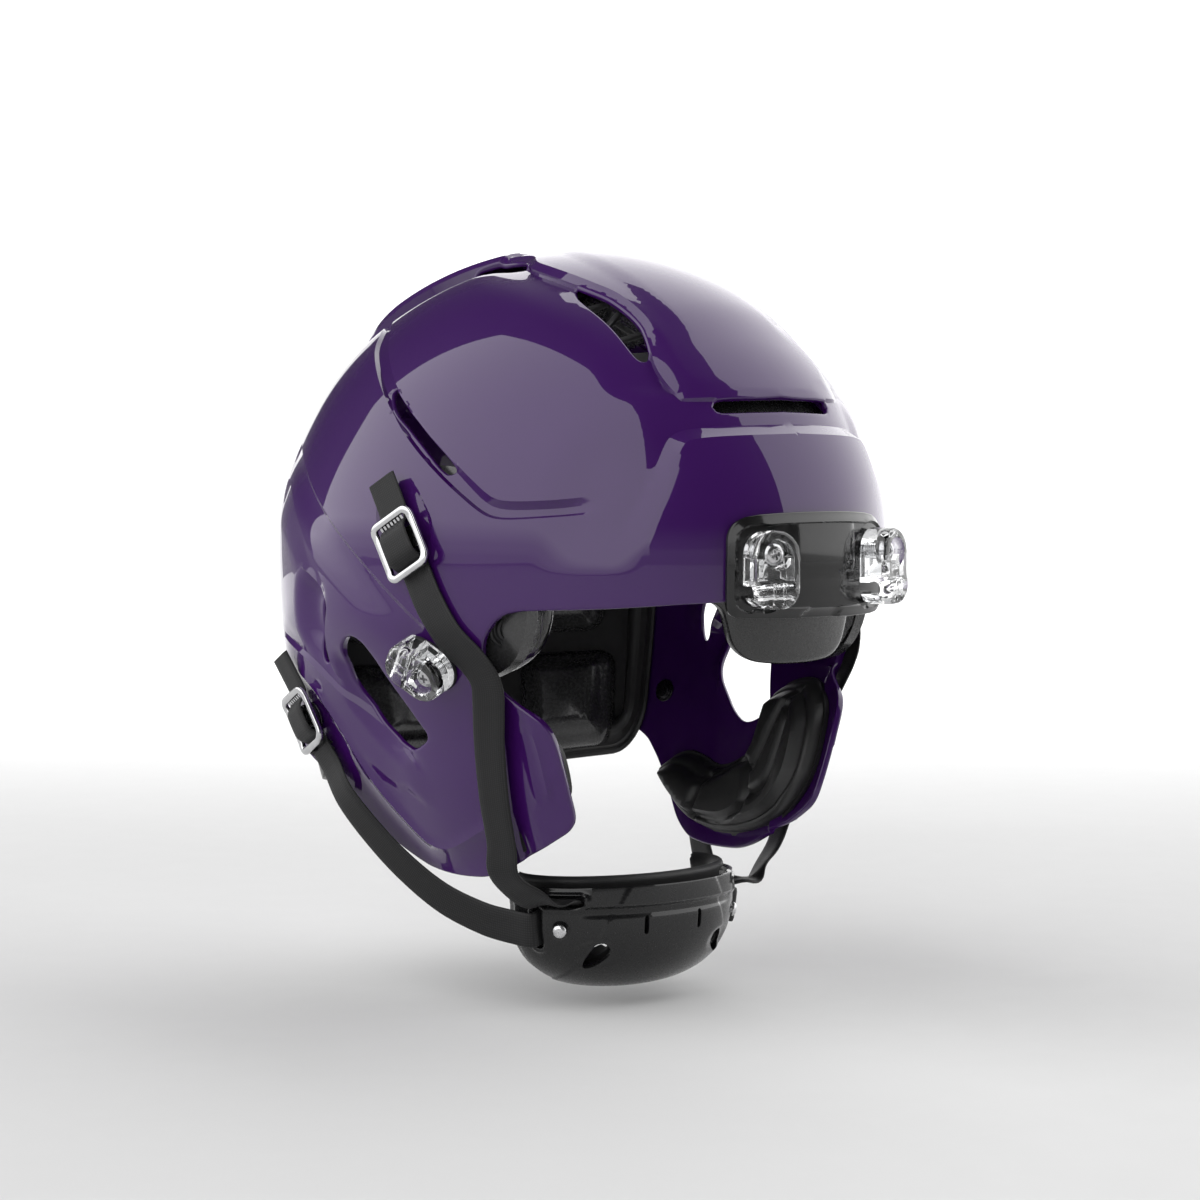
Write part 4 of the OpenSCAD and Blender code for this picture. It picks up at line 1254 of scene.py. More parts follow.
def web_mat():
    """Woven webbing: ribs across its length and warp lines along it (uv: mm across, mm along)."""
    m, nt, b = _new("webbing")
    N, L = nt.nodes, nt.links
    uv = N.new("ShaderNodeUVMap")
    uv.uv_map = "weave"
    sep = N.new("ShaderNodeSeparateXYZ")
    L.new(uv.outputs["UV"], sep.inputs["Vector"])
    w1 = N.new("ShaderNodeTexWave")
    w1.wave_type, w1.bands_direction = "BANDS", "Y"
    w1.inputs["Scale"].default_value = 0.36
    w1.inputs["Distortion"].default_value = 0.25
    w2 = N.new("ShaderNodeTexWave")
    w2.wave_type, w2.bands_direction = "BANDS", "X"
    w2.inputs["Scale"].default_value = 0.30
    w2.inputs["Distortion"].default_value = 0.15
    L.new(uv.outputs["UV"], w1.inputs["Vector"])
    L.new(uv.outputs["UV"], w2.inputs["Vector"])
    mul = N.new("ShaderNodeMath")
    mul.operation = "MULTIPLY"
    L.new(w1.outputs["Fac"], mul.inputs[0])
    L.new(w2.outputs["Fac"], mul.inputs[1])
    cr = N.new("ShaderNodeValToRGB")
    cr.color_ramp.elements[0].color = (0.006, 0.006, 0.0065, 1)
    cr.color_ramp.elements[1].color = (0.020, 0.020, 0.021, 1)
    L.new(mul.outputs["Value"], cr.inputs["Fac"])
    L.new(cr.outputs["Color"], b.inputs["Base Color"])
    n = N.new("ShaderNodeTexNoise")
    n.inputs["Scale"].default_value = 1.4
    L.new(uv.outputs["UV"], n.inputs["Vector"])
    mr = N.new("ShaderNodeMapRange")
    mr.inputs["To Min"].default_value = 0.38
    mr.inputs["To Max"].default_value = 0.62
    L.new(n.outputs["Fac"], mr.inputs["Value"])
    L.new(mr.outputs["Result"], b.inputs["Roughness"])
    bp = N.new("ShaderNodeBump")
    bp.inputs["Strength"].default_value = 0.35
    bp.inputs["Distance"].default_value = 0.12 * MM
    L.new(mul.outputs["Value"], bp.inputs["Height"])
    L.new(bp.outputs["Normal"], b.inputs["Normal"])
    b.inputs["Specular IOR Level"].default_value = 0.3
    b.inputs["Sheen Weight"].default_value = 0.03
    return m


def clear_mat(name, tint=(0.97, 0.975, 0.98), rough=0.02, ior=1.49):
    m, nt, b = _new(name)
    N, L = nt.nodes, nt.links
    b.inputs["Base Color"].default_value = (*tint, 1)
    b.inputs["Transmission Weight"].default_value = 1.0
    b.inputs["IOR"].default_value = ior
    tc = N.new("ShaderNodeTexCoord")
    n = N.new("ShaderNodeTexNoise")
    n.inputs["Scale"].default_value = 300
    n.inputs["Detail"].default_value = 3
    L.new(tc.outputs["Object"], n.inputs["Vector"])
    mr = N.new("ShaderNodeMapRange")
    mr.inputs["To Min"].default_value = max(0.0, rough - 0.015)
    mr.inputs["To Max"].default_value = rough + 0.03
    L.new(n.outputs["Fac"], mr.inputs["Value"])
    L.new(mr.outputs["Result"], b.inputs["Roughness"])
    bp = N.new("ShaderNodeBump")
    bp.inputs["Strength"].default_value = 0.04
    bp.inputs["Distance"].default_value = 0.05 * MM
    L.new(n.outputs["Fac"], bp.inputs["Height"])
    L.new(bp.outputs["Normal"], b.inputs["Normal"])
    return m


M = dict(
    coat=finish_mat("shell_coat", (0.036, 0.0030, 0.088), (0.031, 0.0023, 0.076), rough=0.45, rvar=0.05, spec=0.08, coat=1.0, coat_rough=0.02, grain=2600, bump=0.015, bdist=0.02, patch=9),
    bumper=finish_mat("bumper_gloss", (0.008, 0.008, 0.0083), rough=0.20, rvar=0.06, spec=0.25, coat=0.45, coat_rough=0.05, grain=1500, bump=0.03),
    clear=clear_mat("clear_polycarbonate"),
    bubble=clear_mat("clear_tpu", (0.80, 0.81, 0.82), 0.015, 1.45),
    steel=finish_mat("steel", (0.62, 0.62, 0.63), (0.45, 0.45, 0.46), rough=0.20, rvar=0.06, metal=1, grain=2600, bump=0.05, patch=500),
    chrome=finish_mat("chrome", (0.66, 0.66, 0.67), (0.58, 0.58, 0.59), rough=0.09, rvar=0.04, metal=1, grain=1800, bump=0.03, patch=200),
    snap=finish_mat("snap_metal", (0.10, 0.10, 0.105), (0.06, 0.06, 0.065), rough=0.30, rvar=0.08, metal=1, grain=1600, bump=0.05, patch=300),
    gasket=finish_mat("gasket_rubber", (0.010, 0.010, 0.011), rough=0.55, rvar=0.1, grain=2200, bump=0.15, patch=200),
    cup=finish_mat("cup_gloss", (0.0085, 0.0085, 0.009), (0.006, 0.006, 0.0065), rough=0.30, rvar=0.05, spec=0.12, coat=0.7, coat_rough=0.03, grain=1400, bump=0.02, patch=40),
    liner=finish_mat("liner_foam", (0.020, 0.020, 0.021), (0.014, 0.014, 0.015), rough=0.52, rvar=0.1, spec=0.4, grain=2500, bump=0.08, bdist=0.08, patch=90, sheen=0.1),
    pad=finish_mat("pad_moulded", (0.022, 0.022, 0.0225), (0.016, 0.016, 0.0165), rough=0.44, rvar=0.08, spec=0.5, grain=2600, bump=0.12, bdist=0.06, patch=80),
    film=finish_mat("pad_film", (0.046, 0.046, 0.047), (0.030, 0.030, 0.0305), rough=0.27, rvar=0.08, spec=0.5, coat=0.35, coat_rough=0.12, grain=700, bump=0.06, bdist=0.08, patch=70),
    brow=finish_mat("brow_film", (0.014, 0.014, 0.0145), (0.008, 0.008, 0.0085), rough=0.27, rvar=0.08, spec=0.5, coat=0.35, coat_rough=0.12, grain=700, bump=0.06, bdist=0.08, patch=70),
    carrier=finish_mat("carrier_plastic", (0.024, 0.024, 0.0245), rough=0.36, rvar=0.07, spec=0.5, grain=1900, bump=0.08, patch=100),
    rivet=finish_mat("rivet_metal", (0.72, 0.72, 0.73), (0.6, 0.6, 0.61), rough=0.28, rvar=0.07, metal=1, grain=2600, bump=0.05, patch=600),
    web=web_mat(),
)


# ---------------------------------------------------------------- frames (right side)
def seat_frame(p, x, y, n, sink):
    p, n = arr(p), unit(n)
    return Fr(p - n * sink, unit(x), unit(y), n)


FC = Fr((-29, -156.413, -5.5), (0.956814, -0.290702, 0), (0, 0, 1), (-0.290702, -0.956814, 0))
SC = Fr((-109.169, -43, -45), (0.24316, 0.5025, -0.82968), (0.35812, -0.84143, -0.40466), (-0.90146, -0.19872, -0.38456))
US = seat_frame((-116.304, -38, 3), (0.17872, -0.85623, 0.48469), (-0.07399, 0.47953, 0.8744), (-0.98111, -0.19214, 0.02235), 1.2)
LS = seat_frame((-101.912, 52, -74), (-0.19706, -0.89718, 0.39527), (-0.16876, 0.4282, 0.88779), (-0.96576, 0.10824, -0.23579), 1.2)


def raw(name, vf, sharp=None):
    return mesh_obj(name, vf[0], vf[1], None, bool(sharp), sharp)


def take(ob):
    """Mesh of a scratch object as arrays in millimetres; the object goes."""
    n = len(ob.data.vertices)
    v = np.empty(n * 3)
    ob.data.vertices.foreach_get("co", v)
    f = [tuple(p.vertices) for p in ob.data.polygons]
    d = ob.data
    bpy.data.objects.remove(ob)
    bpy.data.meshes.remove(d)
    return v.reshape(-1, 3) / MM, f


def block(x0, x1, y0, y1, z0, z1):
    v = arr([(x, y, z) for z in (z0, z1) for y in (y0, y1) for x in (x0, x1)])
    f = [(0, 2, 3, 1), (4, 5, 7, 6), (0, 1, 5, 4), (2, 6, 7, 3), (0, 4, 6, 2), (1, 3, 7, 5)]
    return v, f


def rod(axis, c, r, h, seg=48):
    """Cylinder of length h centred on c along x, y or z."""
    v, f = lathe([(0, -h / 2), (r, -h / 2), (r, h / 2), (0, h / 2)], seg)
    if axis == "x":
        v = v[:, (2, 0, 1)]
    elif axis == "y":
        v = v[:, (1, 2, 0)]
    return v + arr(c), f


def on(fr, vf):
    v = fr.at(vf[0])
    f = vf[1]
    if np.linalg.det(fr.m) < 0:
        f = [t[::-1] for t in f]
    return v, f


def stadium(w, l, r_top, r_bot, n=10):
    """Upright outline, l along y, w along x."""
    out = []
    for cx, cy, r, a0 in ((w / 2 - r_bot, -l / 2 + r_bot, r_bot, -90), (w / 2 - r_top, l / 2 - r_top, r_top, 0), (-w / 2 + r_top, l / 2 - r_top, r_top, 90), (-w / 2 + r_bot, -l / 2 + r_bot, r_bot, 180)):
        for i in range(n + 1):
            a = math.radians(a0 + 90 * i / n)
            out.append((cx + r * math.cos(a), cy + r * math.sin(a)))
    return arr(out)


def plane_put(p, g):
    g = np.broadcast_to(np.asarray(g, float), p[:, 0].shape)
    return np.stack([p[:, 0], p[:, 1], g], 1)


# ---------------------------------------------------------------- clear faceguard clips
def clip_mesh(l, sy, ch, h=12.6):
    w = 20
    out = stadium(w, l, 9.9, 8.2)
    r = 3.4

    def top(p, d):
        z = h - edge_round(d, r) * 1.0
        # shoulder: the screw end is a little lower than the bar end
        z = z - 1.1 * sm((p[:, 1] - (ch + 2.5)) / 3.5) * np.clip(d / 2.5, 0, 1)
        return z

    base = slab(out, plane_put, top, lambda p, d: 0.0 * d, rings_for(r) + [r], 2.2, wall=4)
    ob = raw("clip_work", base)
    ribs = []
    for x in (-2.1, 2.1):
        ribs.append(raw("rib", rod("y", (x, ch - 0.6, h - 0.35), 0.85, 8.5, 20)))
    boolean(ob, ribs, "UNION")
    cut = []
    cut.append(raw("cut", rod("x", (0, ch, 6.2), 3.0, 30, 40)))
    cut.append(raw("cut", block(-15, 15, ch - 2.4, ch + 2.4, -2, 6.2)))
    fun = lathe([(0, -2), (2.8, -2), (2.8, 5.0), (5.3, 5.0), (5.4, 8.2), (6.9, 14.5), (0, 14.5)], 44)
    cut.append(raw("cut", (fun[0] + (0, sy, 0), fun[1])))
    for x in (-1, 1):
        cut.append(raw("cut", block(min(x * 4.0, x * 7.4), max(x * 4.0, x * 7.4), ch + 4.4, sy - 1.5, -2, 8.6)))
        cut.append(raw("cut", block(min(x * 3.2, x * 5.6), max(x * 3.2, x * 5.6), ch - 6.3, ch - 3.9, -2, 7.6)))
    boolean(ob, cut)
    bevel(ob, 0.28, 2, 40)
    return take(ob)


def screw_mesh(grip):
    head = [(4.6, 5.1), (4.6, 6.2), (4.35, 7.1), (3.5, 8.1), (2.4, 8.45), (0, 8.5)]
    sh = [(0, -grip), (1.9, -grip), (2.3, -grip + 0.6)]
    z = -grip + 0.6
    while z < 3.6:
        sh += [(2.35, z + 0.15), (2.05, z + 0.4), (2.35, z + 0.65)]
        z += 0.8
    prof = sh + [(2.4, 4.6), (2.4, 5.1)] + head
    ob = raw("screw_work", lathe(round_prof(prof, 0.12, 2), 40))
    c = []
    for a in (0, 90):
        v, f = block(-2.3, 2.3, -0.5, 0.5, 6.9, 12)
        v = v.copy()
        v[v[:, 2] < 8, 0] *= 0.75
        t = math.radians(a + 20)
        R = arr([[math.cos(t), math.sin(t), 0], [-math.sin(t), math.cos(t), 0], [0, 0, 1]])
        c.append(raw("cut", (v @ R, f)))
    boolean(ob, c)
    bevel(ob, 0.10, 2, 40)
    return take(ob)


def move(vf, d):
    return vf[0] + arr(d), vf[1]


def spin(vf, c, deg):
    """Turned about an axis along z through c."""
    t = math.radians(deg)
    v = vf[0] - arr((c[0], c[1], 0))
    R = arr([[math.cos(t), math.sin(t), 0], [-math.sin(t), math.cos(t), 0], [0, 0, 1]])
    return v @ R + arr((c[0], c[1], 0)), vf[1]


def hardware_clips():
    fcl = clip_mesh(31, 6, -8.8)
    scl = clip_mesh(27, 4.5, -6.8)
    s1, s2 = screw_mesh(12.4), screw_mesh(8.6)
    nut = round_prof([(2.5, -1.2), (5.5, -1.2), (5.5, 0), (2.5, 0)], 0.2)
    for sd, mir in (("right", False), ("left", True)):
        def fin(vf):
            return flip(vf) if mir else vf
        piece("front_clip_" + sd, fin(on(FC, fcl)), "clip_clear", M["clear"], rep="front_clip_" + sd, sharp=32)
        piece("side_clip_" + sd, fin(on(SC, move(spin(scl, (0, 4.5), -11), (0, 0, 2)))), "clip_clear", M["clear"], rep="side_clip_" + sd, sharp=32)
        piece("front_screw_" + sd, fin(on(FC, move(s1, (0, 6, 0)))), "steel", M["steel"], rep="clip_screws", sharp=35)
        piece("side_screw_" + sd, fin(on(SC, move(s2, (0, 4.5, 2)))), "steel", M["steel"], rep="clip_screws", sharp=35)
        flange = lathe(round_prof([(0, -2.6), (3.8, -2.6), (3.8, -1.2), (5.5, -1.2), (5.5, 0), (0, 0)], 0.25, 3), 40)
        a = on(FC, move(flange, (0, 6, -10.6)))
        b = on(SC, move(flange, (0, 4.5, -4.7)))
        piece("clip_nuts_" + sd, fin(joined(a, b)), "steel", M["snap"], rep="clip_nuts", sharp=35)
        g = slab(stadium(20.8, 27.6, 10.3, 9.2), plane_put, lambda p, d: 1.9 - edge_round(d, 0.6) + 0.0 * d, lambda p, d: 0.2 + 0 * d, rings_for(0.6) + [0.6], 2.4)
        ring = lathe(round_prof([(10.6, 0.1), (12.6, 0.1), (12.6, 1.0), (10.6, 1.5), (10.6, 0.1)], 0.2)[:-1], 56)
        piece("side_gasket_" + sd, fin(on(SC, g)), "gasket", M["gasket"], rep="side_clip_gaskets", sharp=35)


# ---------------------------------------------------------------- snaps and buckles
def hardware_snaps():
    stud = lathe(round_prof([(0, -5.2), (1.9, -5.2), (1.9, 0.1), (6.4, 0.1), (6.4, 0.9), (2.9, 0.9), (2.9, 1.8), (4.0, 2.1), (4.0, 3.7), (3.3, 4.3), (0, 4.3)], 0.28, 3), 44)
    sock = lathe(round_prof([(0, 4.6), (4.25, 4.6), (4.25, 1.3), (6.4, 1.3), (6.4, 4.3), (5.6, 5.2), (3.0, 5.2), (3.0, 6.75), (4.1, 6.75), (4.1, 7.3), (0, 7.3)], 0.3, 3), 48)
    nut = lathe(round_prof([(0, -2.2), (3.6, -2.2), (3.6, -0.8), (5.2, -0.8), (5.2, 0), (0, 0)], 0.25, 3), 36)
    # frame bar swept round a rounded rectangle
    sec = arr([(1.62 * math.copysign(abs(math.cos(a)) ** 0.62, math.cos(a)), 1.22 * math.copysign(abs(math.sin(a)) ** 0.7, math.sin(a))) for a in np.linspace(0, 2 * math.pi, 17)[:-1]])
    cl = resample(stadium(24 - 3.3, 27 - 3.3, 3.0, 3.4, 8), 0.8, True)
    z = 6.2 + 0.75 * sm((np.abs(cl[:, 1]) - 7.0) / 5.5) - 0.15
    P = np.c_[cl, z]
    T = unit(np.roll(P, -1, 0) - np.roll(P, 1, 0))
    B = unit(np.cross(T, np.tile((0, 0, 1.0), (len(P), 1))))
    Mx = np.cross(B, T)
    frame_m = tube_mesh(P, B, Mx, sec, True)
    parts = [frame_m]
    # toothed bar and middle plate
    for i in range(7):
        v, f = block(-6.5 + 2 * i, -5.4 + 2 * i, 8.6, 10.9, 5.5, 6.9)
        v = v.copy()
        v[(v[:, 1] < 9), 2] = v[(v[:, 1] < 9), 2] * 0.35 + 5.6 * 0.65
        parts.append((v, f))
    ob = raw("plate_work", slab(stadium(20.4, 9.6, 1.2, 1.2, 4), plane_put, lambda p, d: 6.5 - edge_round(d, 0.35), lambda p, d: 5.4 + 0 * d, rings_for(0.35) + [0.35], 2.0))
    boolean(ob, [raw("cut", rod("z", (0, 0, 6), 3.15, 8, 32))])
    plate = take(ob)
    parts.append(plate)
    buckle = joined(*parts)
    for sd, mir in (("right", False), ("left", True)):
        def fin(vf):
            return flip(vf) if mir else vf
        for lv, fr in (("upper", US), ("lower", LS)):
            k = lv + "_" + sd
            piece("stud_" + k, fin(on(fr, stud)), "steel", M["snap"], rep="snap_studs", sharp=38)
            piece("stud_nut_" + k, fin(on(fr, move(nut, (0, 0, -3.3)))), "steel", M["snap"], rep="snap_nuts", sharp=38)
            piece("socket_" + k, fin(on(fr, sock)), "snap_metal", M["snap"], "snap_socket_" + k, "snap_socket_" + k, 38)
            piece("buckle_" + k, fin(on(fr, buckle)), "buckle_chrome", M["chrome"], "buckle_" + k, "buckle_" + k, 38)


# ---------------------------------------------------------------- webbing
CUP_C = arr((0, -32, -150))


def cup_pt(u, v, g):
    u, v = np.radians(u), np.radians(v)
    # steeper walls and a rounder bottom than an ellipsoid's
    c, s = np.cos(v), np.sin(v)
    r = (np.abs(c) ** 2.6 + np.abs(s) ** 2.6) ** (-1 / 2.6)
    c, s = c * r, s * r
    return CUP_C + np.stack([(57 + g) * np.sin(u) * c, -(37 + g) * np.cos(u) * c, -(39 + g) * s], -1)


def cup_w(u, v, turn):
    x = unit(cup_pt(u + 1, v, 0) - cup_pt(u - 1, v, 0))
    d = unit(cup_pt(u, v + 1, 0) - cup_pt(u, v - 1, 0))
    t = math.radians(turn)
    return x * math.cos(t) - d * math.sin(t)


def wallp(y, z, h):
    b = np.stack([-side_x(y, z), np.asarray(y, float), np.asarray(z, float)], -1)
    n = out_n(b)
    return b + n * h, n


THREAD = arr([(30, 2.2), (21, 2.4), (13.6, 2.7), (10.4, 3.3), (7.7, 6.2), (5.2, 8.3), (0, 8.7), (-5.2, 8.3), (-7.7, 6.2), (-10.4, 3.3), (-13.6, 2.7)])


def web_section(w=15.0, t=1.6):
    """Flat section with rounded, slightly thinner selvedges."""
    h = t / 2
    one = [(-w / 2, 0.0), (-w / 2 + 0.12, 0.30), (-w / 2 + 0.42, 0.52), (-w / 2 + 1.0, 0.60), (-w / 2 + 1.7, h), (-w / 4, h), (0, h), (w / 4, h), (w / 2 - 1.7, h), (w / 2 - 1.0, 0.60), (w / 2 - 0.42, 0.52), (w / 2 - 0.12, 0.30), (w / 2, 0.0)]
    return arr(one + [(a, -b) for a, b in one[-2:0:-1]])


def strap_rows(pts, wid, k):
    q, b = catmull(pts, k), catmull(wid, k)
    T = np.empty_like(q)
    T[1:-1] = q[2:] - q[:-2]
    T[0], T[-1] = q[1] - q[0], q[-1] - q[-2]
    T = unit(T)
    b = unit(b - T * (b * T).sum(1)[:, None])
    return q, b, np.cross(T, b)


def strap_piece(name, q, b, m, body, mir, rep, s0=0.0):
    sec = web_section()
    V, F = tube_mesh(q, b, m, sec, False)
    s = s0 + np.r_[0, np.cumsum(np.linalg.norm(np.diff(q, axis=0), axis=1))]
    uvv = np.stack([np.tile(sec[:, 0] + 7.5, len(q)), np.repeat(s, len(sec))], 1)
    if mir:
        V, F = flip((V, F))
    ob = mesh_obj(name, V, F, "webbing", True, 60)
    lay = ob.data.uv_layers.new(name="weave")
    li = np.empty(len(ob.data.loops), int)
    ob.data.loops.foreach_get("vertex_index", li)
    lay.data.foreach_set("uv", uvv[li].ravel())
    paint(ob, M["web"])
    if isinstance(body, str):
        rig.ride(ob, body)
    else:
        a, c, st, en = body
        s3 = (-1, 1, 1) if mir else (1, 1, 1)
        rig.blend(ob, a, c, start=tuple(arr(st) * s3 * MM), end=tuple(arr(en) * s3 * MM))
    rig.replaces(ob, rep)
    return ob


def straps():
    k = 6
    # upper
    th = US.at(np.c_[0 * THREAD[:, 0], THREAD])
    tw = np.tile(US.m[0], (len(th), 1))
    ur = arr([(-50, -20.5), (-57.6, -33), (-66, -43.5), (-68.2, -52), (-65, -62), (-60.5, -74), (-57, -88), (-53.5, -104), (-50, -121)])
    rp, rn = wallp(ur[:, 0], ur[:, 1], 1.9)
    T = np.empty_like(rp)
    T[1:-1], T[0], T[-1] = rp[2:] - rp[:-2], rp[1] - rp[0], rp[-1] - rp[-2]
    rw = unit(np.cross(rn, T))
    rw *= np.sign((rw @ tw[0]))[:, None]
    us, vs = -57.0, -3.5
    fp = np.vstack([(-76, -48, -133), (-68.5, -48.5, -141), (-59, -52, -146.5), cup_pt(us, vs - 1, 2.6), cup_pt(us, vs + 0.3, -1.8), cup_pt(us, vs + 2.8, -5)])
    wc = cup_w(us, vs, 0)
    wc = wc * np.sign(wc @ rw[-1])
    fw = np.vstack([rw[-1] * 0.75 + wc * 0.25, rw[-1] * 0.4 + wc * 0.6, rw[-1] * 0.12 + wc, wc, wc, wc])
    up = strap_rows(np.vstack([th, rp, fp]), np.vstack([tw, rw, fw]), k)
    # lower
    # the free end stands a little further off, clear of the wall as the buckle turns
    thread2 = np.vstack([(30, 4.2), (21, 3.5), (13.6, 3.0), THREAD[3:-1], (-13.6, 2.5), (-16.6, 2.4)])
    th2 = LS.at(np.c_[0 * thread2[:, 0], thread2])
    tw2 = np.tile(LS.m[0], (len(th2), 1))
    lr = arr([(46, -86), (41, -94)])
    lp, ln = wallp(lr[:, 0], lr[:, 1], 2.9)
    lw = unit(np.cross(ln, np.vstack([lp[1] - lp[0], lp[1] - lp[0]])))
    lw *= np.sign((lw @ tw2[0]))[:, None]
    ul, vl = -73.0, 13.0
    lf = np.vstack([(-99, 32, -107), (-90.5, 21, -124), (-82, 9, -138), (-74, -5, -149), (-66, -21, -156), (-60.5, -33, -158.6), cup_pt(ul - 1.8, vl, 2.6), cup_pt(ul + 0.2, vl, -1.8), cup_pt(ul + 2.4, vl, -5.25)])
    wl = cup_w(ul, vl, 90)
    wl = wl * np.sign(wl @ tw2[0])
    lfw = np.vstack([lw[-1] * (1 - i / 6) + wl * i / 6 for i in range(1, 7)] + [wl, wl, wl])
    lo = strap_rows(np.vstack([th2, lp, lf]), np.vstack([tw2, lw, lfw]), k)
    for sd, mir in (("right", False), ("left", True)):
        for lv, (q, b, m), fr, n1, n2, n3 in (("upper", up, US, 10 * k, 12 * k, 18 * k), ("lower", lo, LS, 10 * k, 12 * k, 13 * k)):
            rep = "strap_%s_%s" % (lv, sd)
            kk = "%s_%s" % (lv, sd)
            cuts = [0, n1, n2, n3, len(q) - 1]
            s = np.r_[0, np.cumsum(np.linalg.norm(np.diff(q, axis=0), axis=1))]
            nm = ("tail", "neck", "wall", "hang")
            bodies = ("buckle_" + kk,
                ("buckle_" + kk, "snap_socket_" + kk, q[cuts[1]], q[cuts[2]]),
                ("snap_socket_" + kk, "helmet", q[cuts[2]], q[cuts[3]]),
                ("helmet", "chin_cup", q[cuts[3]], q[min(cuts[4], cuts[3] + int((cuts[4] - cuts[3]) * (0.62 if lv == "upper" else 0.72)))]))
            for i in range(4):
                a, c = cuts[i], cuts[i + 1]
                strap_piece("strap_%s_%s" % (kk, nm[i]), q[a:c + 1], b[a:c + 1], m[a:c + 1], bodies[i], mir, rep, s[a])


# ---------------------------------------------------------------- brow bumper
def rstep(d, a, b):
    return sm((d - a) / (b - a))


def near(p, line, closed=False):
    return np.abs(sdist(p, line, closed))


def bumper():
    half = arr([(0, -25.4), (20, -25.4), (36.5, -25.0), (40.0, -23.0), (41, -19), (41, 4), (40.2, 9.4), (37.6, 13.0), (32, 15.4), (16, 16.4), (0, 16.6)])
    out = np.vstack([half, half[-2:0:-1] * (-1, 1)])
    out = chaikin(out, 1, True)
    seat = stadium(23.4, 34.5, 11.6, 10.2)
    seats = [seat * (0.957, 1) + (sx * 29, -5.5) for sx in (-1, 1)]
    plate = arr([(-16.5, 30), (-16.5, -5.2), (-14.8, -7.4), (14.8, -7.4), (16.5, -5.2), (16.5, 30)])
    notch = arr([(-9.5, -30), (-9.5, -22.6), (-7, -20.8), (7, -20.8), (9.5, -22.6), (9.5, -30)])

    def top(p, d):
        h = 3.2 - edge_round(d, 1.0) * 1.0 + 2.3 * np.clip((d - 0.9) / 3.3, 0, 1)
        h = h - 0.75 * rstep(d, 4.3, 4.9)
        pl = sdpoly(p, plate)
        h = h + 0.75 * np.clip((pl + 0.1) / 1.5, 0, 1) * (d > 4.3)
        for s in seats:
            k = sdpoly(p, s)
            h = h - (h - 3.9) * np.clip((k + 0.4) / 0.9, 0, 1) * (d > 3.0)
        nt = sdpoly(p, notch)
        h = h - 1.5 * np.clip((nt + 0.2) / 0.8, 0, 1)
        return h

    def bot(p, d):
        return 0.35 + 0 * d

    lines = [offset(plate, o) for o in (0.0, 1.0, -0.3)]
    for s in seats:
        for o in (0.4, -0.5):
            k = grow(s, o)
            lines.append(np.vstack([k, k[:1]]))
    lines += [notch, offset(notch, 0.7), offset(notch, -0.3)]
    vf = slab(out, put_normal("front"), top, bot, rings_for(1.0) + [1.0, 2.4, 4.2, 4.35, 4.9], 2.0, lines)
    piece("brow_bumper", vf, "bumper", M["bumper"], rep="front_bumper", sharp=24)


# ---------------------------------------------------------------- liner
def pad_prof(depth, r1, r2, dome=1.2, span=18.0):
    """Depth below the shell: a rounded flank, a crisp shoulder and a slightly domed face."""
    def f(d):
        a = np.clip(d / r1, 0, 1)
        fl = np.sqrt(np.maximum(0, 1 - (1 - a) ** 2))
        sh = np.clip((d - r1 * 0.55) / r2, 0, 1)
        return depth * (0.62 * fl + 0.38 * sm(sh)) + dome * sm(d / span)
    return f


def groove(p, line, w, depth, closed=False):
    return depth * (1 - sm(near(p, line, closed) / w))


JAW_O = arr([(-30, -66), (-45, -60), (-62, -60.5), (-74, -68), (-80, -76), (-81, -90), (-79, -104), (-67, -117), (-50, -127), (-25, -133), (0, -131), (18, -124.5), (36, -113), (41, -106), (28, -98), (12, -99), (-2, -104), (-16, -98), (-27, -90), (-29, -78)])
JAW_G = [arr(l) for l in (
    [(15, -93), (9, -98), (0, -103.5), (-3.8, -109.7), (-2, -121), (3, -129), (6, -135)],
    [(-2.4, -106), (-12.9, -101.6), (-31.6, -97), (-37.4, -100.3), (-40.8, -110.5), (-39.5, -117.5), (-24.5, -124.4), (-3.5, -124.0)],
    [(-56, -64), (-53.5, -70), (-51.4, -75.7), (-46.2, -87.8), (-41.3, -99.0), (-37.6, -101)],
    [(-58.6, -71), (-62.6, -75.8), (-59.2, -90.8), (-55.4, -105.8), (-46.9, -110.4), (-41, -111)])]


def jaw_pads():
    o = chaikin(JAW_O, 2, True)
    g = [resample(chaikin(l, 2), 1.5) for l in JAW_G]
    prof = pad_prof(15.0, 6.5, 4.0, 1.0)

    def top(p, d):
        h = -6.2 - prof(np.maximum(0, d - 1.5)) - edge_round(np.maximum(0, 1.5 - d), 1.5) * 0.2
        front = sm((-p[:, 0] - 60) / 8)
        h = h - 1.2 * front
        cut = np.zeros(len(p))
        for l, w, k in zip(g, (3.6, 3.2, 2.9, 2.9), (7.0, 4.6, 4.4, 4.4)):
            cut = np.maximum(cut, groove(p, l, w, k))
        cut = cut * sm((d - 1.5) / 5)
        # seam round the border
        cut = np.maximum(cut, 0.9 * np.exp(-((d - 5.2) / 0.55) ** 2))
        return h + cut

    def bot(p, d):
        return -5.0 + 0 * d

    lines = list(g)
    for l in g:
        lines += [offset(l, 1.5), offset(l, -1.5), offset(l, 3.1), offset(l, -3.1)]
    vf = slab(o, put_side, top, bot, [0.8, 1.5, 2.2, 3.2, 4.6, 5.2, 5.8, 7.2, 8.6], 2.1, lines, wall=2)
    for sd, mir in (("right", False), ("left", True)):
        piece("jaw_pad_" + sd, flip(vf) if mir else vf, "pad", M["pad"], rep="jaw_pad_" + sd, sharp=60, pad=0.9)


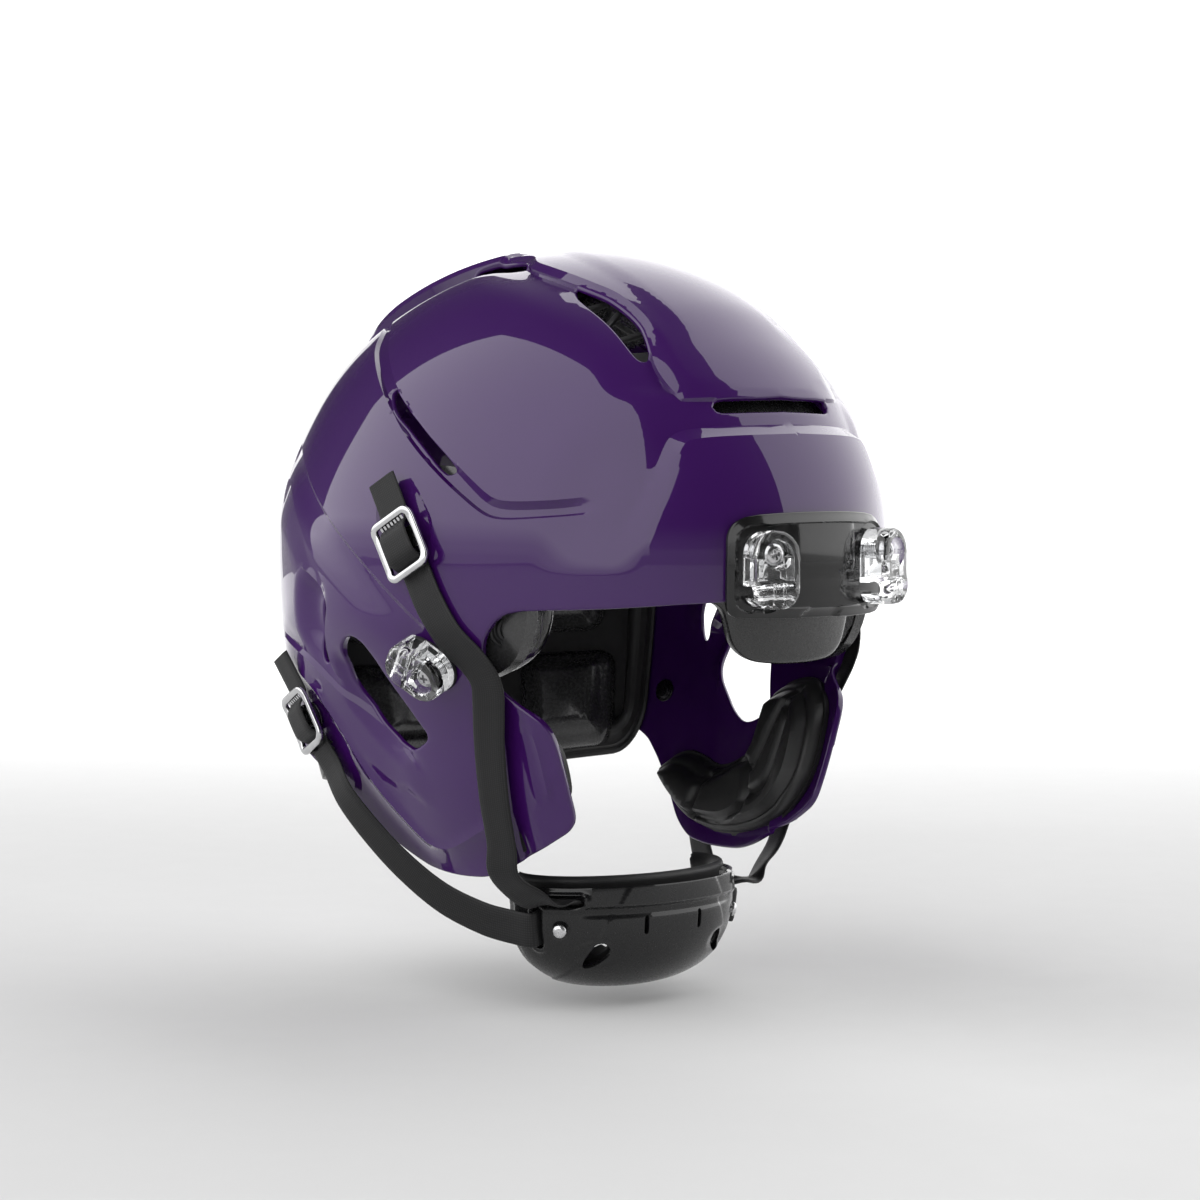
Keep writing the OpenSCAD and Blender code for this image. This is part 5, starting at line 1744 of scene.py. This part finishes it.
SIDE_O = arr([(8, 24), (8, -24), (2, -37), (-12, -47), (-28, -52), (-48, -53.5), (-66, -51), (-79, -44), (-86, -33), (-88, -20), (-88, 4), (-80, 24), (-60, 34), (-20, 36)])


def side_pads():
    o = chaikin(SIDE_O, 2, True)
    lines = [arr([(-42, 40), (-44, 10), (-40, -20), (-44, -58)]), arr([(12, -6), (-20, -8), (-40, -4)])]
    prof = pad_prof(15.0, 9.0, 5.0, 1.4)

    def top(p, d):
        h = -9.0 - prof(d)
        cut = np.zeros(len(p))
        for l in lines:
            cut = np.maximum(cut, groove(p, l, 4.0, 7.0))
        # the temple end is a clear bubble, so the foam stands back from it
        h = h + cut * sm(d / 4)
        return h + 5.5 * sm((-p[:, 0] - 58) / 8)

    ll = []
    for l in lines:
        ll += [l, offset(l, 2), offset(l, -2), offset(l, 3.9), offset(l, -3.9)]
    vf = slab(o, put_side, top, lambda p, d: -8.4 + 0 * d, [0.5, 1.4, 3, 5, 7, 9], 2.8, ll, wall=2)
    b = arr([(-54, 30), (-54, -50), (-66, -50), (-78, -43.5), (-85.5, -33), (-87.5, -20), (-87.5, 3), (-79.5, 23), (-66, 31)])
    b = chaikin(b, 2, True)
    skin = 1.1

    def btop(p, d):
        return -9.2 - 15.8 * np.sqrt(np.maximum(0, 1 - (1 - np.clip(d / 12, 0, 1)) ** 2)) - 0.6 * sm(d / 16)

    bub = slab(b, put_side, btop, lambda p, d: -8.6 - 0 * d, [0.3, 0.9, 1.8, 3, 4.5, 6.5, 9, 12], 2.4, (), wall=1)
    fit = lathe(round_prof([(0, 0), (8.2, 0), (8.2, 1.2), (7.2, 1.8), (6.4, 1.2), (5.6, 1.2), (5.2, 2.4), (4.0, 2.8), (3.2, 1.8), (0, 1.8)], 0.25, 3), 48)
    for sd, mir in (("right", False), ("left", True)):
        def fin(v):
            return flip(v) if mir else v
        piece("side_pad_" + sd, fin(vf), "pad", M["film"], rep="side_pad_" + sd, sharp=60, pad=0.8)
        # front of the pad: fitting with rings, set square to the brow edge
        n = unit((-0.25, -0.95, -0.15))
        x = unit(np.cross((0, 0, 1.0), n))
        f2 = Fr((-92.0, -71.5, -30.0), x, np.cross(n, x), n)
        piece("temple_ring_" + sd, fin(on(f2, fit)), "pad", M["gasket"], rep="side_pad_" + sd, sharp=38)
        piece("temple_bubble_" + sd, fin(bub), "clip_clear", M["bubble"], rep="side_pad_" + sd, sharp=60)


FRONT_H = arr([(0, -44.6), (10, -44.5), (23, -43), (30, -37), (32.5, -28), (35, -20), (48, -17), (60, -13), (66, 0), (64, 18), (55, 36), (44, 53), (30, 64), (12, 67), (0, 67.5)])


def front_pad():
    o = np.vstack([FRONT_H, FRONT_H[-2:0:-1] * (-1, 1)])
    o = chaikin(o, 2, True)
    lines = [arr([(-22, 52), (-20, 10), (-26, -24)]), arr([(22, 52), (20, 10), (26, -24)])]
    prof = pad_prof(14.6, 8.0, 5.0, 1.2)

    def top(p, d):
        cut = np.zeros(len(p))
        for l in lines:
            cut = np.maximum(cut, groove(p, l, 3.6, 6.0))
        return -9.6 - prof(d) + cut * sm(d / 4)

    def bot(p, d):
        return -8.3 - edge_round(d, 3.0) * 0.9 * 0 - 2.2 * (1 - np.sqrt(np.maximum(0, 1 - (1 - np.clip(d / 3.4, 0, 1)) ** 2))) + 0.55 * groove(p, arr([(-40, -21.5), (40, -21.5)]), 1.2, 1.0) * 0

    ll = []
    for l in lines:
        ll += [l, offset(l, 2), offset(l, -2), offset(l, 3.6), offset(l, -3.6)]
    vf = slab(o, put_front, top, bot, [0.25, 0.8, 1.6, 2.4, 3.4, 5, 7, 9], 2.6, ll, wall=2)
    piece("brow_pad", vf, "pad", M["brow"], rep="front_pad", sharp=60, pad=0.85)


def rrect2(hw, hh, r, n=8):
    return stadium(2 * hw, 2 * hh, r, r, n)


def rear_liner():
    """Rear carrier plate with its border ridge, and the cushions on it."""
    fr = put_back(180.0, -21.5)
    out = rrect2(122, 46.5, 19)

    def ctop(p, d):
        h = -6.9 - edge_round(1.2 - np.minimum(d, 1.2), 1.2) * 0 + 0.9 * (1 - np.clip(d / 1.0, 0, 1))
        h = h - 1.5 * np.clip((d - 2.2) / 0.7, 0, 1)
        return h - 1.9 * np.exp(-((d - 9.4) / 2.7) ** 4)

    vf = slab(out, fr, ctop, lambda p, d: -5.3 + 0 * d, [0.5, 1.0, 2.2, 2.9, 6.0, 6.8, 7.8, 9.4, 11, 12, 12.8], 3.0, (), wall=1)
    piece("rear_carrier", vf, "carrier", M["carrier"], rep="rear_carrier", sharp=35)
    prof = pad_prof(13.0, 7.0, 4.4, 1.6)

    def cushion(name, az, el, hw, hh, r, rep, g0=-9.6, gr=()):
        f = put_back(az, el)
        gr = [arr(l) for l in gr]

        def top(p, d):
            h = g0 - prof(d)
            for l in gr:
                h = h + groove(p, l, 2.8, 3.4) * sm(d / 4)
            # seam where the face film meets the flank
            return h + 0.5 * np.exp(-((d - 7.6) / 0.45) ** 2)

        ll = []
        for l in gr:
            ll += [l, offset(l, 1.5), offset(l, -1.5), offset(l, 2.8), offset(l, -2.8)]
        v = slab(rrect2(hw, hh, r), f, top, lambda p, d: g0 + 0.3 + 0 * d, [0.3, 0.9, 2, 3.4, 5, 6.8, 7.6, 8.4], 2.2, ll, wall=1)
        piece(name, v, "pad", M["film"], rep=rep, sharp=60, pad=0.85)

    for nm, az, hw in (("left", 141, 20.5), ("middle", 180, 30), ("right", 219, 20.5)):
        cushion("nape_cushion_" + nm, az, -32.4, hw, 19.2, 8, "nape_pad", gr=((( -30, -9), (30, -9)),) if nm == "middle" else ())
    for nm, az, hw in (("left", 145, 26), ("middle", 180, 33), ("right", 215, 26)):
        cushion("rear_cushion_" + nm, az, -12.2, hw, 17.2, 8, "rear_pad", gr=(((-34, 0), (34, 0)),))


def put_top(p, g):
    g = np.broadcast_to(np.asarray(g, float), p[:, 0].shape)
    b = np.stack([p[:, 0], p[:, 1], top_z(p[:, 0], p[:, 1])], 1)
    return b + out_n(b) * g[:, None]


def crown():
    """Black lattice under the vents, and the cushions below it."""
    bars = []

    def bar(pts, w=3.4, h=2.6, g=-8.0):
        q = resample(catmull(arr(pts), 6), 3.0)
        P = put_top(q, g)
        n = out_n(put_top(q, 0))
        T = np.empty_like(P)
        T[1:-1], T[0], T[-1] = P[2:] - P[:-2], P[1] - P[0], P[-1] - P[-2]
        T = unit(T)
        B = unit(np.cross(T, n))
        sec = stadium(w, h, 0.8, 0.8, 3)
        bars.append(tube_mesh(P, B, np.cross(B, T), sec, False))

    for s in (-1, 1):
        bar([(s * 33, -112), (s * 35, -80), (s * 34, -45), (s * 31, -10), (s * 30, 20), (s * 28, 50), (s * 22, 84)])
        bar([(s * 55, -104), (s * 57, -75), (s * 54, -40), (s * 50, -6), (s * 49, 20), (s * 45, 52), (s * 38, 84)])
        bar([(s * 8, -116), (s * 9, -60), (s * 8, 0), (s * 8, 50), (s * 7, 90)])
        y = -106
        k = 0
        while y < 80:
            a, b = (33, 56) if y < -40 else (31, 50)
            if k % 2:
                bar([(s * a, y), (s * (a + b) / 2, y + 3), (s * b, y + 8)], 2.6, 2.4)
            else:
                bar([(s * a, y + 6), (s * (a + b) / 2, y + 2), (s * b, y)], 2.6, 2.4)
            if k % 2:
                bar([(s * 8, y + 4), (s * 20, y + 1), (s * 33, y + 4)], 2.6, 2.4)
            y += 12.5
            k += 1
    hoop = []
    for z0 in (58,):
        az = np.linspace(0, 360, 121)[:-1]
        P = az_el(az, np.full(120, 36.0))
        n = out_n(P)
        P = P - n * 7.6
        T = unit(np.roll(P, -1, 0) - np.roll(P, 1, 0))
        B = unit(np.cross(T, n))
        hoop.append(tube_mesh(P, B, np.cross(B, T), stadium(9.0, 2.4, 0.9, 0.9, 3), True))
    piece("crown_lattice", joined(*(bars + hoop)), "carrier", M["carrier"], rep="crown_liner", sharp=40)
    prof = pad_prof(10.5, 8.0, 4.0, 1.5)

    def cushion(name, cx, cy, hw, hh, r):
        def put(p, g):
            return put_top(p + (cx, cy), g)
        v = slab(rrect2(hw, hh, r), put, lambda p, d: -12.0 - prof(d), lambda p, d: -11.4 + 0 * d, [0.3, 1, 2.2, 4, 6, 8], 2.8, (), wall=1)
        piece(name, v, "pad", M["film"], rep="crown_pad", sharp=60, pad=0.85)

    cushion("crown_cushion_middle", 0, -8, 24, 34, 14)
    cushion("crown_cushion_front", 0, -77, 30, 27, 12)
    cushion("crown_cushion_back", 0, 62, 28, 28, 12)
    for s, nm in ((-1, "right"), (1, "left")):
        cushion("crown_cushion_" + nm, s * 54, -34, 24, 34, 12)
        cushion("crown_cushion_rear_" + nm, s * 52, 36, 20, 28, 12)


# ---------------------------------------------------------------- chin cup
def cup_grid(us, vs, fn):
    """fn(u, v) grids in degrees give points; returns the sheet as an array (len(us), len(vs), 3)."""
    U, Vv = np.meshgrid(us, vs, indexing="ij")
    return fn(U, Vv)


def sheet_pair(A, B):
    """Closed body between two matching grids."""
    n, m = A.shape[:2]
    V = np.vstack([A.reshape(-1, 3), B.reshape(-1, 3)])
    a = np.arange(n * m).reshape(n, m)
    b = a + n * m
    F = []
    for g, fl in ((a, False), (b, True)):
        q = np.stack([g[:-1, :-1], g[1:, :-1], g[1:, 1:], g[:-1, 1:]], -1).reshape(-1, 4)
        F += [tuple(t[::-1] if fl else t) for t in q]
    loop = list(a[:, 0]) + list(a[-1, 1:]) + list(a[-2::-1, -1]) + list(a[0, -2:0:-1])
    lb = [k + n * m for k in loop]
    for i in range(len(loop)):
        j = (i + 1) % len(loop)
        F.append((loop[j], loop[i], lb[i], lb[j]))
    V = arr(V)
    vol = 0.0
    c0 = V.mean(0)
    for f in F[::7]:
        x = V[list(f)]
        vol += (x[0] - c0) @ np.cross(x[1] - c0, x[2] - c0)
    if vol < 0:
        F = [f[::-1] for f in F]
    return V, F


def cup_local(u, v, at, turn=0.0):
    """Millimetres round the bowl (right side, u < 0) from a place on it: along x and down-turned y."""
    p = cup_pt(u, v, 0)
    c = cup_pt(arr(at[0]), arr(at[1]), 0)
    x = unit(cup_pt(at[0] + 1, at[1], 0) - cup_pt(at[0] - 1, at[1], 0))
    d = unit(cup_pt(at[0], at[1] + 1, 0) - cup_pt(at[0], at[1] - 1, 0))
    z = unit(np.cross(d, x))
    y = np.cross(z, x)
    t = math.radians(turn)
    X = x * math.cos(t) + y * math.sin(t)
    Y = -x * math.sin(t) + y * math.cos(t)
    r = p - c
    return r @ X, r @ Y, (c, X, Y, z)


def chin_cup():
    us = np.linspace(-100, 100, 201)
    vs = np.r_[np.linspace(-12, 14, 33), np.linspace(15, 84, 62)]
    slots = [((-57, -3.5), 0.0, 7.3, 2.0), ((-73, 13), 90.0, 7.3, 2.0)]

    def outer(U, V):
        g = 0 * U
        A = np.where(U > 0, -U, U)
        # raised edges round the webbing slots
        for at, turn, hl, r in slots:
            x, y, _ = cup_local(A, V, at, turn)
            d = np.hypot(np.maximum(np.abs(x) - hl, 0), y) - r
            g = g + 0.9 * np.exp(-((d - 1.1) / 0.9) ** 2)
        # flared lip at the top, then a shallow channel under it
        lip = sm((1.5 - V) / 3.0) * (1 - 0.9 * sm((np.abs(U) - 40) / 12))
        g = g + 2.4 * lip - 0.5 * np.exp(-((V - 4.5) / 2.0) ** 2) * (1 - sm((np.abs(U) - 40) / 12))
        # vent dish
        x, y, _ = cup_local(A, V, (-41, 29), 0)
        d = np.hypot(x / 1.9, y)
        g = g - 1.3 * (1 - sm((d - 3.2) / 4.0))
        # panel line that runs from the lip down to the vent, in front of the strap ears
        x, y, _ = cup_local(A, V, (-36, 12), 58)
        g = g - 0.45 * sm((y + 1.0) / 0.8) * sm((np.abs(U) - 18) / 4) * (1 - sm((V - 60) / 10))
        # rivet seat
        x, y, _ = cup_local(A, V, (-59, 14))
        g = g - 0.5 * (1 - sm((np.hypot(x, y) - 3.6) / 0.8))
        # small step round the rear ends
        g = g - 0.6 * sm((np.abs(U) - 92) / 2.5)
        return cup_pt(U, V, g)

    def inner(U, V):
        return cup_pt(U, V, -3.0 + 0.5 * sm((-8 - V) / 3))

    A, B = cup_grid(us, vs, outer), cup_grid(us, vs, inner)
    ob = raw("cup_work", sheet_pair(A, B))
    cut, cut_pad = [], []
    for s in (-1, 1):
        def fx(vf):
            return flip(vf) if s > 0 else vf
        for at, turn, hl, r in slots:
            _, _, (c, X, Y, z) = cup_local(arr(0.0), arr(0.0), at, turn)
            f = Fr(c, X, Y, z)
            if np.linalg.det(f.m) < 0:
                f = Fr(c, X, -Y, z)
            v = slab(stadium(2 * r, 2 * (hl + r), r, r, 10)[:, ::-1], plane_put, lambda p, d: 9 + 0 * d, lambda p, d: -9 + 0 * d, (), 2.0)
            cut.append(raw("cut", fx(on(f, v))))
        _, _, (c, X, Y, z) = cup_local(arr(0.0), arr(0.0), (-38, 29), 0)
        if np.dot(np.cross(X, Y), z) < 0:
            Y = -Y
        dn = 1.0 if Y[2] < 0 else -1.0
        tear = chaikin(arr([(-10.5, 1.6 * dn), (-9.0, -0.6 * dn), (-3.6, -3.0 * dn), (0.4, -4.6 * dn), (3.6, -3.2 * dn), (4.6, 0.2 * dn), (3.0, 3.6 * dn), (-1.6, 4.3 * dn), (-8.2, 3.2 * dn)]), 2, True)
        q = tear * (1, dn)
        t = math.radians(38)
        tear = np.stack([q[:, 0] * math.cos(t) + q[:, 1] * math.sin(t), (q[:, 1] * math.cos(t) - q[:, 0] * math.sin(t)) * dn], 1)
        v = slab(tear, plane_put, lambda p, d: 9 + 0 * d, lambda p, d: -24 + 0 * d, (), 2.0)
        cut.append(raw("cut", fx(on(Fr(c, X, Y, z), v))))
        cut_pad.append(raw("cut", fx(on(Fr(c, X, Y, z), v))))
        _, _, (c, X, Y, z) = cup_local(arr(0.0), arr(0.0), (-15, 12), 0)
        if np.dot(np.cross(X, Y), z) < 0:
            Y = -Y
        v = slab(stadium(2.2, 8.4, 1.1, 1.1, 6), plane_put, lambda p, d: 9 + 0 * d, lambda p, d: -9 + 0 * d, (), 1.5)
        cut.append(raw("cut", fx(on(Fr(c, X, Y, z), v))))
    boolean(ob, cut)
    bevel(ob, 0.45, 2, 42)
    vf = take(ob)
    piece("cup_shell", vf, "cup", M["cup"], "chin_cup", "chin_cup_shell", 38)
    # padded liner: three lobes and a rolled edge
    us = np.linspace(-104, 104, 131)
    vs = np.linspace(-21, 84, 70)

    def lin(U, V):
        lobes = 1 - 0.9 * np.exp(-((np.abs(U) - 34) / 3.2) ** 2) * (1 - sm((V - 58) / 12)) - 0.5 * np.exp(-((V - 30) / 3.4) ** 2) * (1 - sm((np.abs(U) - 24) / 6))
        e = np.minimum(np.minimum((V + 21) / 9.0, (104 - np.abs(U)) / 9.0), 1)
        return cup_pt(U, V, -6.6 - 5.6 * np.clip(lobes, 0.1, 1) * np.sqrt(np.maximum(0.02, 1 - (1 - e) ** 2)))

    def lout(U, V):
        e = np.minimum(np.minimum((V + 21) / 5.0, (104 - np.abs(U)) / 5.0), 1)
        up = sm((-V - 12) / 5)
        return cup_pt(U, V, -6.3 + 2.6 * up + (-1.2) * (1 - np.sqrt(np.maximum(0, 1 - (1 - e) ** 2))))

    ob = raw("cup_pad_work", sheet_pair(cup_grid(us, vs, lout), cup_grid(us, vs, lin)))
    boolean(ob, cut_pad)
    vf = take(ob)
    piece("cup_liner", vf, "pad", M["liner"], "chin_cup", "chin_cup_liner", 50, pad=0.8)
    rv = lathe(round_prof([(0, -3), (1.6, -3), (1.6, 0.15), (3.0, 0.15), (2.8, 1.0), (1.7, 1.7), (0, 1.85)], 0.25, 3), 40)
    _, _, (c, X, Y, z) = cup_local(arr(0.0), arr(0.0), (-59, 14), 0)
    if np.dot(np.cross(X, Y), z) < 0:
        Y = -Y
    f = Fr(c, X, Y, z)
    for sd in ("right", "left"):
        v = on(f, rv)
        piece("cup_rivet_" + sd, flip(v) if sd == "left" else v, "rivet", M["rivet"], "chin_cup", "chin_cup_rivets", 38)


# ---------------------------------------------------------------- camera, light, floor
def camera():
    right = Vector((0.77162, -0.63608, 0.0))
    up = Vector((0.03329, 0.04038, 0.99863))
    back = Vector((-0.63521, -0.77057, 0.05234))
    t = Vector((0.008318, -0.008539, -0.024766))
    cam = bpy.data.cameras.new("camera")
    cam.lens = 93
    cam.sensor_width = 36
    cam.clip_start = 0.05
    ob = bpy.data.objects.new("camera", cam)
    bpy.context.scene.collection.objects.link(ob)
    m = Matrix((right, up, back)).transposed().to_4x4()
    m.translation = t + back * 1.356
    ob.matrix_world = m
    bpy.context.scene.camera = ob


def softbox(name, at, to, w, h, power, colour=(1, 1, 1)):
    l = bpy.data.lights.new(name, "AREA")
    l.shape = "RECTANGLE"
    l.size, l.size_y = w, h
    l.energy = power
    l.color = colour
    ob = bpy.data.objects.new(name, l)
    bpy.context.scene.collection.objects.link(ob)
    ob.location = at
    d = Vector(to) - Vector(at)
    ob.rotation_euler = d.to_track_quat("-Z", "Y").to_euler()
    return ob


def wall_light(name, az, dist, half, lo, hi, radiance):
    """An upright soft box facing the helmet: azimuth from the front (deg), distance, half width / distance, bottom (m), top / distance, radiance."""
    a = math.radians(az)
    top = hi * dist
    wd, ht = 2 * half * dist, top - lo
    x, y, z = dist * math.sin(a), -dist * math.cos(a), (top + lo) / 2
    return softbox(name, (x, y, z), (0, 0, z), wd, ht, radiance * math.pi * wd * ht)


def sweep():
    """Pale floor out to the horizon and a narrow curved paper behind the helmet, both lit by a painted glow that is
    faint near the helmet and strong far behind it.
    """
    vs, fs = [], []
    for s in range(64):
        a = 2 * math.pi * s / 64
        vs.append((3.3 * math.cos(a), 3.3 * math.sin(a), -0.195))
    fs.append(tuple(range(64)))
    prof = [(1.6, 0.0)]
    r = 0.9
    for k in range(1, 25):
        t = math.radians(90 * k / 24)
        prof.append((1.6 + r * math.sin(t), r - r * math.cos(t)))
    prof.append((1.6 + r, 1.0))
    d = (0.63521, 0.77057)
    e = (0.77162, -0.63608)
    n = len(vs)
    for k, (u, h) in enumerate(prof):
        for s in (-0.95, 0.95):
            vs.append((d[0] * u + e[0] * s, d[1] * u + e[1] * s, h - 0.195))
        if k:
            a = n + 2 * k
            fs.append((a - 2, a - 1, a + 1, a))
    me = bpy.data.meshes.new("floor")
    me.from_pydata(vs, [], fs)
    for p in list(me.polygons)[1:]:
        p.use_smooth = True
    ob = bpy.data.objects.new("floor", me)
    bpy.context.scene.collection.objects.link(ob)
    m = finish_mat("floor_paper", (0.60, 0.60, 0.60), (0.58, 0.58, 0.58), rough=0.85, spec=0.2, patch=3, grain=50, bump=0.01)
    b = m.node_tree.nodes["Principled BSDF"]
    N, L = m.node_tree.nodes, m.node_tree.links
    # painted glow: the floor and paper emit light of their own, 0.06 near the helmet rising to 0.85 far behind it, so
    # they read white far off and dim by the helmet
    geo = N.new("ShaderNodeNewGeometry")
    dist = N.new("ShaderNodeVectorMath")
    dist.operation = "DOT_PRODUCT"
    dist.inputs[1].default_value = (0.63521, 0.77057, 0.25)
    L.new(geo.outputs["Position"], dist.inputs[0])
    mr = N.new("ShaderNodeMapRange")
    mr.interpolation_type = "SMOOTHSTEP"
    mr.inputs["From Min"].default_value = 0.3
    mr.inputs["From Max"].default_value = 2.2
    mr.inputs["To Min"].default_value = 0.06
    mr.inputs["To Max"].default_value = 0.85
    L.new(dist.outputs["Value"], mr.inputs["Value"])
    b.inputs["Emission Color"].default_value = (1, 1, 1, 1)
    L.new(mr.outputs["Result"], b.inputs["Emission Strength"])
    paint(ob, m)
    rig.stage(ob)


def studio_world():
    """Dark room with a pale horizon."""
    w = bpy.data.worlds.new("world")
    bpy.context.scene.world = w
    w.use_nodes = True
    N, L = w.node_tree.nodes, w.node_tree.links
    bg = N["Background"]
    tc = N.new("ShaderNodeTexCoord")
    sep = N.new("ShaderNodeSeparateXYZ")
    L.new(tc.outputs["Generated"], sep.inputs["Vector"])
    mr = N.new("ShaderNodeMapRange")
    mr.interpolation_type = "SMOOTHSTEP"
    mr.inputs["From Min"].default_value = 0.02
    mr.inputs["From Max"].default_value = 0.20
    mr.inputs["To Min"].default_value = 0.30
    mr.inputs["To Max"].default_value = 0.06
    L.new(sep.outputs["Z"], mr.inputs["Value"])
    # below the horizon the room is as pale as the floor
    low = N.new("ShaderNodeMapRange")
    low.interpolation_type = "SMOOTHSTEP"
    low.inputs["From Min"].default_value = -0.01
    low.inputs["From Max"].default_value = 0.05
    low.inputs["To Min"].default_value = 0.48
    low.inputs["To Max"].default_value = 0.0
    L.new(sep.outputs["Z"], low.inputs["Value"])
    most = N.new("ShaderNodeMath")
    most.operation = "MAXIMUM"
    L.new(mr.outputs["Result"], most.inputs[0])
    L.new(low.outputs["Result"], most.inputs[1])
    bg.inputs["Color"].default_value = (1, 1, 1, 1)
    L.new(most.outputs["Value"], bg.inputs["Strength"])


# ---------------------------------------------------------------- build
shell = build_shell()
paint(shell, M["coat"])
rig.ride(shell, "helmet")
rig.replaces(shell, "shell")
hardware_clips()
hardware_snaps()
straps()
bumper()
jaw_pads()
side_pads()
front_pad()
rear_liner()
crown()
chin_cup()
camera()
bpy.context.scene.view_settings.view_transform = "Standard"
studio_world()
# two tall soft boxes: one off the wearer's right side, one off the left, with a dark gap towards the camera
wall_light("key_light", -100, 3.4, 1.72, 0.61, 3.2, 2.05)
for k in range(10):
    wall_light("key_foot_%d" % k, -100, 3.4, 1.72, -0.19 + 0.08 * k, (-0.11 + 0.08 * k) / 3.4, 0.55 + 0.15 * k)
wall_light("fill_light", 86, 3.4, 1.90, -0.17, 3.0, 2.0)
# a sweep of pale paper with a painted glow: floor and rising wall behind
sweep()
BOX_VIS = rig.bounds()
with open("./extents.json", "w") as fh:
    json.dump({"cad": BOX_CAD, "visual": BOX_VIS}, fh, indent=1, default=lambda v: list(v))
